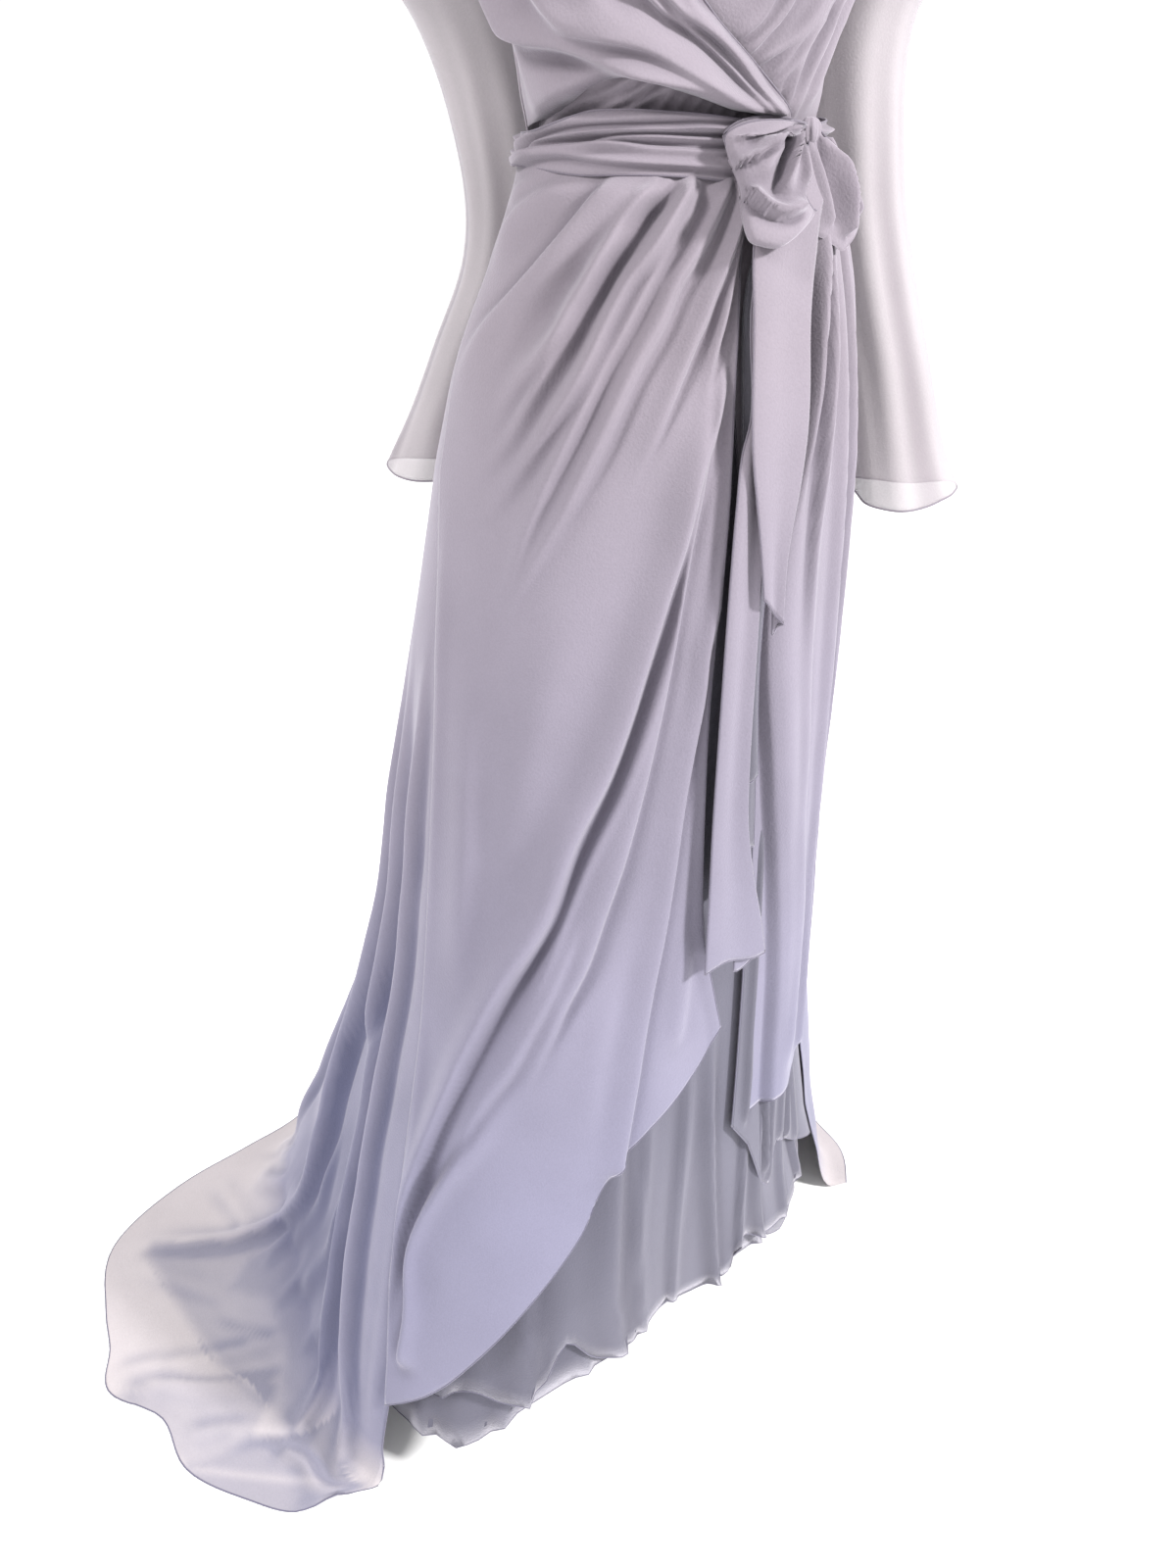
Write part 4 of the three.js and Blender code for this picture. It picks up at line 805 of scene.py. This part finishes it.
def skirt_left_under(materials):
    def place(across, down):
        turn = lerp(21, LEFT_SEAM_TURN - 0.1, across)
        height = lerp(WAIST_HEIGHT - 180, look_up(LEFT_UNDER_HEM, turn), down)
        hang = folds(turn, height, LEFT_UNDER_FOLDS)
        near_seam = smooth((turn - 84) / 12)
        return turn, height, -LAYER - lerp(12, 2.5, near_seam) + hang * smooth(down * 1.4) * (1 - near_seam)

    return panel("skirt_left_under", 100, 70, place, materials, hems=("bottom", "first"))


def skirt_back(materials):
    def back_folds():
        table = []
        for start, end, depth, width, side in BACK_FOLDS:
            line = [(start, 1078), (lerp(start, end, 0.15), 960), (lerp(start, end, 0.4), 700),
                    (lerp(start, end, 0.7), 350), (end, 70), (end + 1, 4)]
            swell = (0.35 * depth, 0.7 * depth, depth, 1.3 * depth, depth, 0.4 * depth)
            spread = (0.4 * width, 0.6 * width, 0.8 * width, width, width, 0.7 * width)
            table.append(fold(line, swell, spread, side, 0.4, (0, 0.06)))
        return table

    table = back_folds() + TRAIN_FOLDS

    # A third of the columns takes up the plainer part, and part of the rows lies on the floor.
    plain_columns = 0.34
    plain_share = 0.6
    upright_rows = 0.7

    def place(across, down):
        plain = across * plain_share / plain_columns
        rest = (across - plain_columns) * (1 - plain_share) / (1 - plain_columns)
        side = np.where(across < plain_columns, plain, plain_share + rest)
        upright_share = np.minimum(down / upright_rows, 1)
        standing = lerp(WAIST_HEIGHT, FLOOR_START_HEIGHT, upright_share**ROW_SPREAD)
        lying = FLOOR_START_HEIGHT * (1 - (down - upright_rows) / (1 - upright_rows))
        height = np.where(down < upright_rows, standing, lying)
        seam = 360 + look_up_smooth(RIGHT_SEAM, height)
        turn = lerp(LEFT_SEAM_TURN + SEAM_GAP_TURN, seam - SEAM_GAP_TURN, side)
        height = lerp(look_up_smooth(TRAIN_HEM, turn), WAIST_HEIGHT, height / WAIST_HEIGHT)
        on_floor = smooth((115 - height) / 75)
        near_seam = smooth((1 - side) / 0.02 + 0.1)
        hang = folds(turn, height, table, sheath_point, sheath_normal(turn, height)) * near_seam
        sag = ripple(turn, height, 1) * loosen(height)
        drawn_in = 11 * smooth((turn - 212) / 20) * smooth((292 - turn) / 16) * smooth((720 - height) / 260)
        upright = -LAYER + hang + sag - drawn_in * smooth((height - 70) / 70)
        flat = 1.4 + 0.8 * np.maximum(hang, -1) + 0.5 * np.abs(sag)
        # The train's darker zones: partly cloth lying over more of itself, partly painted shade.
        layered_and_shaded = sum(share * inside(turn, height, outline, TRAIN_TONE_BLUR) for share,
                      outline in TRAIN_LAYERS_AND_SHADE)
        return turn, height, lerp(upright, flat, on_floor), layered_and_shaded * smooth((540 - height) / 400)

    return panel("skirt_back", 198, 236, place, materials, hems=("bottom", "last"), passes=7)


def underskirt(name, rows, columns, inset, hem_table, table, waves, materials):
    def place(across, down):
        turn = across * 360 - 180
        hem = look_up_smooth(hem_table, turn)
        height = lerp(WAIST_HEIGHT, hem, down**ROW_SPREAD)
        open_ = loosen(height)
        hidden = smooth((np.abs(turn - 20) - 78) / 20)
        wave = 3 * np.sin(np.radians(turn * waves) + 0.8 * np.sin(np.radians(turn * 3))) * hidden * down
        hang = 0.75 * folds(turn, height, table)
        return turn, height, -lerp(inset[0], inset[1], open_) + (wave + hang) * open_

    return panel(name, rows, columns, place, materials, round_it=True)


def side_turn(height):
    cut = np.where((height > UNDERARM_HEIGHT) & (height < SHOULDER_TIP_HEIGHT), look_up(ARMHOLE, height), 0)
    return 90 - cut


def bodice_height(low, down):
    return lerp(NECK_HEIGHT, low, down**1.1)


def bodice_back(materials):
    def place(across, down):
        height = bodice_height(WAIST_HEIGHT - 4, down)
        cut = 90 - side_turn(height)
        turn = lerp(90.2 + cut, 269.8 - cut, across)
        low = smooth((1200 - height) / 90) * smooth((height - WAIST_HEIGHT) / 14)
        tuck = 1.6 * smooth((WAIST_HEIGHT + 10 - height) / 10)
        gather = (1.5 * np.sin(across * 78 + 0.5 * np.sin(down * 9)) + np.sin(across * 131 + 2)) * low
        return turn, height, -LAYER - tuck + gather * 0.8 + ripple(turn, height, 0.8)

    return panel("bodice_back", 90, 96, place, materials, hems=("top",))


def bodice_front_left(materials):
    def place(across, down):
        height = bodice_height(WAIST_HEIGHT, down)
        lead = look_up_smooth(UNDER_LEAD, height)
        turn = lerp(lead, side_turn(height) - 0.2, across)
        hang = folds(turn, height, UNDER_FOLDS)
        return turn, height, -LAYER - 1 + np.minimum(hang, 6) * 0.8

    return panel("bodice_front_left", 116, 96, place, materials, hems=("first",))


def bodice_front_right(materials):
    def place(across, down):
        low = look_up_smooth(BLOUSON_EDGE, lerp(-89, 35, across))
        height = bodice_height(low, down)
        lead = look_up_smooth(OVER_LEAD, height)
        turn = lerp(-side_turn(height) + 0.2, lead, across)
        loose = smooth((1300 - height) / 150)
        blouse = 9 * loose * np.sin(np.pi * np.clip(across, 0, 1) ** 0.8) * smooth((height - low + 12) / 26)
        raised = smooth((across - 0.03) / 0.15)
        tuck = -6 * smooth(1 - (height - low) / 7) * smooth(across / 0.2) * smooth((1 - across) / 0.15)
        hang = folds(turn, height, OVER_FOLDS)
        out = lerp(-LAYER, OVERLAP_STAND, raised) + (np.maximum(blouse + hang, 0) + tuck) * raised
        return turn, height, out

    return panel("bodice_front_right", 150, 130, place, materials, hems=("last",))


def armhole_ring(side, angle, inset):
    """The armhole's edge, drawn in by an inset: 0 is the shoulder tip, a quarter turn the front."""
    up, forward = np.cos(angle), np.sin(angle)
    middle = (UNDERARM_HEIGHT + SHOULDER_TIP_HEIGHT) / 2
    height = middle + ((SHOULDER_TIP_HEIGHT - UNDERARM_HEIGHT) / 2 - 0.3) * up
    cut = np.maximum(look_up(ARMHOLE, height) - 0.8, 0)
    inset_turn = np.degrees(inset / sheath_width(90, height)) * forward
    turn = side * (90 - np.sign(forward + 1e-9) * cut + inset_turn)
    return on_sheath(turn, height - inset * up, SLEEVE_STAND - inset * np.maximum(up, 0))


def sleeve(name, side, table, materials):
    rows, columns = 84, 72
    steps = 12
    sections = smooth_line(table, steps)
    angle = np.arange(columns) * 2 * np.pi / columns

    def ring(row, outward):
        height, x, y, wide, deep, join = row
        low = smooth((1270 - height) / 300)
        flare = smooth((900 - height) / 75)
        place = np.degrees(angle)
        wave = 0
        for at, depth, width, drift in SLEEVE_FOLDS:
            off = (place - at - drift * (1270 - height) / 440 + 180) % 360 - 180
            wave = wave + depth * np.exp(-((off / width) ** 2))
        cuff = flare * (2.5 * np.cos(3 * angle + 0.6 * side) + 1.5 * np.cos(5 * angle))
        grow = 1.3 * wave * low - 3 * low + cuff + outward
        p = np.stack([x + side * (wide + grow) * np.cos(angle), y - (deep + grow) * np.sin(angle),
                      height + 5 * flare * np.cos(2 * angle - 0.8 * side)], axis=-1)
        # Painted shade in the troughs between the lengthwise folds; the tone also grows from the upper arm
        # downwards.
        trough_shade_and_lower_tone = np.clip(0.75 - 0.3 * wave, 0, 1) * low
        return lerp(p, armhole_ring(side, angle, -outward), float(np.clip(join, 0, 1))), trough_shade_and_lower_tone

    cap = [[*table[0][:5], share] for share in (1, 0.92, 0.84, 0.76, 0.68, 0.6)]
    every = np.vstack([cap, sections])
    outer = np.array([ring(row, 0)[0] for row in every])
    inner = np.array([ring(row, -CLOTH)[0] for row in every])
    tone = np.array([ring(row, 0)[1] for row in every])
    return shell(name, outer, inner, materials, True, ("bottom",), turned=side > 0, tone=tone)


def sash_wrap(materials):
    def place(across, down):
        turn = across * 360 - 180
        tilt = -6 * np.exp(-(((turn - KNOT_TURN) / 45) ** 2)) + 3 * np.exp(-(((turn + 20) / 40) ** 2))
        narrow = smooth((-45 - turn) / 35) * smooth((turn + 150) / 40)
        height = lerp(SASH_HIGH - 11 * narrow, SASH_LOW + 6 * narrow, down) + tilt
        over = 3.2 * smooth((height - WAIST_HEIGHT) / 14)
        hang = folds(turn, height, SASH_FOLDS)
        low_roll = 2.5 * smooth((down - 0.6) / 0.3) * (1 - narrow)
        body = 1.6 * np.sin(np.pi * down) ** 0.5 + low_roll - 1.4 * narrow
        return turn, height, 2.4 + body + over * 0.8 + 1.15 * hang

    return panel("sash_wrap", 38, 270, place, materials, round_it=True, hems=("top", "bottom"))


def bow_place(slide, height, stand):
    turn = KNOT_TURN + np.degrees(slide / sheath_width(KNOT_TURN, WAIST_HEIGHT))
    return on_sheath(turn, height, stand)


def bow_knot(materials):
    rows, columns = 30, 56
    low, around = np.meshgrid(np.linspace(0.06, np.pi - 0.06, rows), np.arange(columns) * 2 * np.pi / columns,
                              indexing="ij")
    wind = 1 + 0.07 * np.cos(6 * around + 1.2 * np.cos(low)) + 0.03 * np.cos(11 * around)
    wide, deep, tall = KNOT_SIZE
    x = wide * np.sin(low) ** 0.8 * np.cos(around) * wind
    y = deep * np.sin(low) ** 0.8 * np.sin(around) * wind
    z = tall * np.cos(low)
    centre = bow_place(0, KNOT_HEIGHT, KNOT_STAND)
    turn = math.radians(KNOT_TURN)

    def placed(scale):
        sideways = x * math.cos(turn) - y * math.sin(turn)
        inwards = x * math.sin(turn) + y * math.cos(turn)
        return centre + np.stack([sideways, inwards, z], -1) * scale

    return shell("bow_knot", placed(1), placed(0.86), materials, True, ())


def bow_loop(name, loop, materials):
    """A ribbon from the knot to its far fold and back, its columns fanned from one edge to the other."""
    spans = 56
    steps = 72
    v = np.linspace(0, 1, spans + 1)
    u = np.linspace(0, 1, steps + 1)[:, None]

    def spread(table):
        rows = smooth_line(table, 6)
        return np.stack([np.interp(v, np.linspace(0, 1, len(rows)), column) for column in rows.T])

    start, far, lift = spread(loop["start"]), spread(loop["far"]), spread(loop["lift"])
    out = 1 - np.abs(1 - 2 * u)
    rounded = np.sin(out * np.pi / 2)
    hump = 4 * out * (1 - out)
    slide = lerp(start[0], far[0], rounded) + lift[0] * hump
    height = lerp(start[1], far[1], rounded) + lift[1] * hump
    front = smooth((0.5 - u) * 8 + 0.5)
    face = np.sqrt(np.clip(1 - out**3, 0, 1)) * smooth(out * 3)
    round_edge = 1 - 0.55 * (2 * v - 1) ** 4
    stand = lerp(start[2], far[2], rounded)
    pleat = 1.5 * np.cos(loop["pleats"] * 2 * np.pi * v) * smooth(1 - out * 1.3)
    flat = np.stack([slide, height, 0 * slide], axis=-1)
    creases = 0
    for one in loop["folds"]:
        line = np.pad(smooth_line(one["line"]), ((0, 0), (0, 1)))
        creases = creases + fold_height(flat, (0, 0, 1), **{**one, "line": line})
    outward = loop["bulge"] * face * round_edge + pleat + (1.5 * creases - 2.2) * smooth(face * 2)
    stand = stand + lerp(-loop["back"] * face, outward, front)
    middle = bow_place(slide, height, stand)
    normal = np.cross(np.gradient(middle, axis=0), np.gradient(middle, axis=1))
    normal /= np.linalg.norm(normal, axis=-1, keepdims=True) + 1e-9
    inner = middle - normal * CLOTH
    # Painted shade in the creases and pleats of the loop's front half.
    tone = hollows(1.5 * creases + pleat) * front
    return shell(name, middle, inner, materials, False, ("first", "last"), tone=tone)


def strip(name, rows, columns, table, hem_drop, pleats, pleat_depth, under, materials):
    """A hanging strip. Its last columns turn back under it, by a share of its width."""
    top, bottom = table[0][0], table[-1][0]

    def place(across, down):
        wide = across * (1 + under)
        turned = smooth((wide - 1) / under)
        over = np.where(wide > 1, 2 - wide, wide)
        height = lerp(top, bottom + hem_drop(over), down) - 14 * turned * smooth(down)
        start, end = look_up_smooth(table, height, 1), look_up_smooth(table, height, 2)
        stand = look_up_smooth(table, height, 3)
        pleat = pleat_depth * np.sin(over * np.pi * pleats + 0.8 * down) * smooth(down * 5)
        tuck = -4.5 * smooth(turned * 3) * smooth(down * 4)
        return lerp(start, end, over), height, stand + pleat + tuck

    return panel(name, rows, columns, place, materials, hems=("bottom", "first", "last"))


def front_cascade(materials):
    """The stepped inner hems: three layers of one cascade, each longer than the one over it."""
    layers = ((652, 0.0, 14), (612, -1.6, -10), (568, -3.2, 4))
    parts = []
    for number, (hem_height, behind, slope) in enumerate(layers):
        def place(across, down):
            height = lerp(CASCADE[0][0], hem_height + slope * across, down)
            start, end = look_up_smooth(CASCADE, height, 1), look_up_smooth(CASCADE, height, 2)
            wave = 1.2 * np.sin(across * np.pi * 3 + number * 1.3) * smooth(down * 3)
            return lerp(start, end, across), height, look_up_smooth(CASCADE, height, 3) + behind + wave

        parts.append(panel(f"cascade_{number}", 70, 18, place, materials, hems=("bottom", "last")))
    bpy.ops.object.select_all(action="DESELECT")
    for part in parts:
        part.select_set(True)
    bpy.context.view_layer.objects.active = parts[0]
    bpy.ops.object.join()
    parts[0].name = "front_cascade_cloth"
    return parts[0]


def chiffon(name, upper, lower, alpha=1.0, deep=(0.5, 0.49, 0.52), lying=None):
    """Crepe chiffon: its colour goes from upper to lower between two heights of the row's frame.

    Where cloth lies in a fold or hollow, the tone attribute deepens it towards deep as painted shade; on
    the train it also deepens cloth that lies over more of itself, together with painted shade. Where it
    lies on the floor, single and paler, it takes a third colour.
    """
    material = bpy.data.materials.new(name)
    material.use_nodes = True
    nodes, links = material.node_tree.nodes, material.node_tree.links

    def fill(node, sockets):
        for socket, value in sockets.items():
            if isinstance(value, bpy.types.NodeSocket):
                links.new(value, node.inputs[socket])
            else:
                node.inputs[socket].default_value = value

    def made(kind, sockets, output=0, **settings):
        node = nodes.new(f"ShaderNode{kind}")
        for setting, value in settings.items():
            setattr(node, setting, value)
        fill(node, sockets)
        return node.outputs[output]

    def mixed(a, b, factor, blend="MIX"):
        return made("Mix", {"A": a, "B": b, "Factor": factor}, "Result", data_type="RGBA", blend_type=blend)

    def ranged(value, low, high, to_low=0, to_high=1):
        limits = {"From Min": low, "From Max": high, "To Min": to_low, "To Max": to_high}
        return made("MapRange", {"Value": value, **limits}, "Result")

    place = made("TexCoord", {}, "Object")
    height = made("SeparateXYZ", {0: place}, "Z")
    tone = mixed((*upper, 1), (*lower, 1), ranged(height, *COLOUR_FALL))
    if lying:
        tone = mixed(tone, (*lying, 1), ranged(height, *FLOOR_FALL))
    cloud = made("TexNoise", {"Scale": 9, "Detail": 3, "Vector": place}, "Fac")
    grain = made("TexNoise", {"Scale": 620, "Detail": 2, "Vector": place}, "Fac")
    blend = made("Math", {0: grain, 1: 0.55, 2: cloud}, operation="MULTIPLY_ADD")
    shade = mixed(tone, ranged(blend, 0.4, 1.15, 0.9, 1.09), 1, "MULTIPLY")
    # The tone attribute: painted shade in hollows, and on the train doubled cloth with painted shade.
    layers_and_painted_shade = made("Attribute", {}, "Fac", attribute_name="tone")
    bump = made("Bump", {"Strength": 0.55, "Distance": 0.0006, "Height": grain}, "Normal")
    fill(nodes["Principled BSDF"], {
        "Base Color": mixed(shade, (*deep, 1), layers_and_painted_shade, "MULTIPLY"),
        "Roughness": 0.78,
        "Sheen Weight": 0.35,
        "Sheen Roughness": 0.45,
        "Sheen Tint": (0.93, 0.9, 0.98, 1),
        "Specular IOR Level": 0.18,
        "Alpha": alpha,
        "Normal": bump,
    })
    return material


def dress_pieces():
    lilac = chiffon("chiffon", LILAC, (0.165, 0.160, 0.226))
    lilac_hem = chiffon("chiffon_hem", (0.12, 0.105, 0.13), (0.105, 0.10, 0.145))
    # The under layers take a darker copy of the chiffon: painted shade for the shade they lie in under the
    # overlay.
    under = chiffon("under_chiffon", (0.096, 0.091, 0.11), (0.096, 0.094, 0.125))
    shaded_under_hem = chiffon("shaded_under_hem", (0.10, 0.09, 0.12), (0.105, 0.10, 0.14))
    sheer = chiffon("sheer_chiffon", (0.42, 0.388, 0.408),
                    (0.42, 0.388, 0.408), alpha=0.56, deep=(0.5, 0.47, 0.5))
    sheer_hem = chiffon("sheer_hem", (0.20, 0.175, 0.21), (0.20, 0.175, 0.21), alpha=0.9)
    # deep: the train's painted shade and doubled cloth; lying: the paler single cloth on the floor.
    train = chiffon("train_chiffon", LILAC, (0.176, 0.171, 0.236), deep=(0.46, 0.49, 0.6),
                    lying=(0.41, 0.375, 0.385))
    main = (lilac, lilac_hem)
    below = (under, shaded_under_hem)
    back = (train, lilac_hem)
    arms = (sheer, sheer_hem)
    made = {
        "bodice_back": (bodice_back(main), "chiffon", (0.36, 0.4), "gathered"),
        "bodice_front_right": (bodice_front_right(main), "chiffon", (0.2, 0.3), "gathered"),
        "bodice_front_left": (bodice_front_left(main), "chiffon", (0.2, 0.3), "gathered"),
        "sleeve_right": (sleeve("sleeve_right", -1, RIGHT_SLEEVE, arms), "sheer_chiffon",
                         (0.27, 0.56), "hung"),
        "sleeve_left": (sleeve("sleeve_left", 1, LEFT_SLEEVE, arms), "sheer_chiffon", (0.27, 0.56), "hung"),
        "sash_wrap": (sash_wrap(main), "chiffon", (0.62, 0.06), "gathered"),
        "bow_knot": (bow_knot(main), "chiffon", None, ""),
        "bow_loop_front": (bow_loop("bow_loop_front", FRONT_LOOP, main), "chiffon", (0.16, 0.07), "folded"),
        "bow_loop_side": (bow_loop("bow_loop_side", SIDE_LOOP, main), "chiffon", (0.15, 0.055), "folded"),
        "sash_tail_short": (
            strip("sash_tail_short", 70, 34, SHORT_TAIL, lambda a: -10 + 20 * (1 - a), 2, 1.5, 0.3, main),
            "chiffon", (0.055, 0.3), "hung"),
        "sash_tail_long": (
            strip("sash_tail_long", 130, 44, LONG_TAIL, lambda a: 4 * np.sin(a * 6), 2, 2, 0.45, main),
            "chiffon", (0.055, 0.57), "hung"),
        "front_cascade": (front_cascade(below), "under_chiffon", (0.09, 0.45), "hung"),
        "skirt_front_right": (skirt_front_right(main), "chiffon", (0.28, 0.9), "draped"),
        "skirt_front_left": (skirt_front_left(main), "chiffon", (0.23, 0.78), "hung"),
        "skirt_left_under": (skirt_left_under(below), "under_chiffon", (0.2, 0.74), "hung"),
        "skirt_back": (skirt_back(back), "sheer_chiffon", (0.95, 1.2), "draped"),
        "underskirt_mid": (
            underskirt("underskirt_mid", 84, 240, (4.8, 21), MID_HEM, MID_FOLDS, 26, below),
            "under_chiffon", (1.2, 1.0), "hung"),
        "underskirt_inner": (
            underskirt("underskirt_inner", 50, 180, (7, 30), INNER_HEM, INNER_FOLDS, 22, below),
            "under_chiffon", (1.15, 1.02), "hung"),
    }
    for node, (piece, slot, flat, held) in made.items():
        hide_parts(node)
        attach(piece, "root")


def light(name, place, target, size, power, colour):
    lamp = bpy.data.lights.new(name, "AREA")
    lamp.size = size
    lamp.energy = power
    lamp.color = colour
    holder = bpy.data.objects.new(name, lamp)
    bpy.context.scene.collection.objects.link(holder)
    holder.location = place
    aim = Vector(target) - Vector(place)
    holder.rotation_euler = aim.to_track_quat("-Z", "Y").to_euler()


def studio():
    half = 30
    low = -SHOULDER_HEIGHT * MM
    corners = [(-half, -half, low), (half, -half, low), (half, half, low), (-half, half, low)]
    mesh = bpy.data.meshes.new("floor")
    mesh.from_pydata(corners, [], [(0, 1, 2, 3)])
    floor = bpy.data.objects.new("floor", mesh)
    bpy.context.scene.collection.objects.link(floor)
    pale = bpy.data.materials.new("floor")
    pale.use_nodes = True
    shader = pale.node_tree.nodes["Principled BSDF"]
    shader.inputs["Base Color"].default_value = (0.95, 0.95, 0.95, 1)
    shader.inputs["Roughness"].default_value = 0.9
    mesh.materials.append(pale)
    world = bpy.data.worlds.new("world")
    world.use_nodes = True
    sky = world.node_tree.nodes["Background"]
    sky.inputs["Color"].default_value = (1, 1, 1, 1)
    sky.inputs["Strength"].default_value = 1.08
    bpy.context.scene.world = world
    bpy.context.scene.view_settings.view_transform = "Standard"
    light("key", (-2.3, -1.2, 1.3), (0, 0, -0.6), 0.7, 80, (1, 0.985, 0.97))
    light("cross", (2.0, -1.7, 0.95), (0, 0, -0.45), 0.35, 170, (1, 0.99, 0.98))
    light("back", (-0.8, 2.4, 1.6), (0, 0, -0.7), 1.6, 40, (0.98, 0.98, 1))


def camera():
    data = bpy.data.cameras.new("camera")
    data.sensor_width = SENSOR
    data.lens = SENSOR * FOCAL_LENGTH / PHOTO_HEIGHT
    view = bpy.data.objects.new("camera", data)
    bpy.context.scene.collection.objects.link(view)
    view.location = (-0.2448, -0.8681, -0.33)
    view.rotation_euler = (math.radians(61), 0, math.radians(-12))
    bpy.context.scene.camera = view


camera()
dress_pieces()
studio()
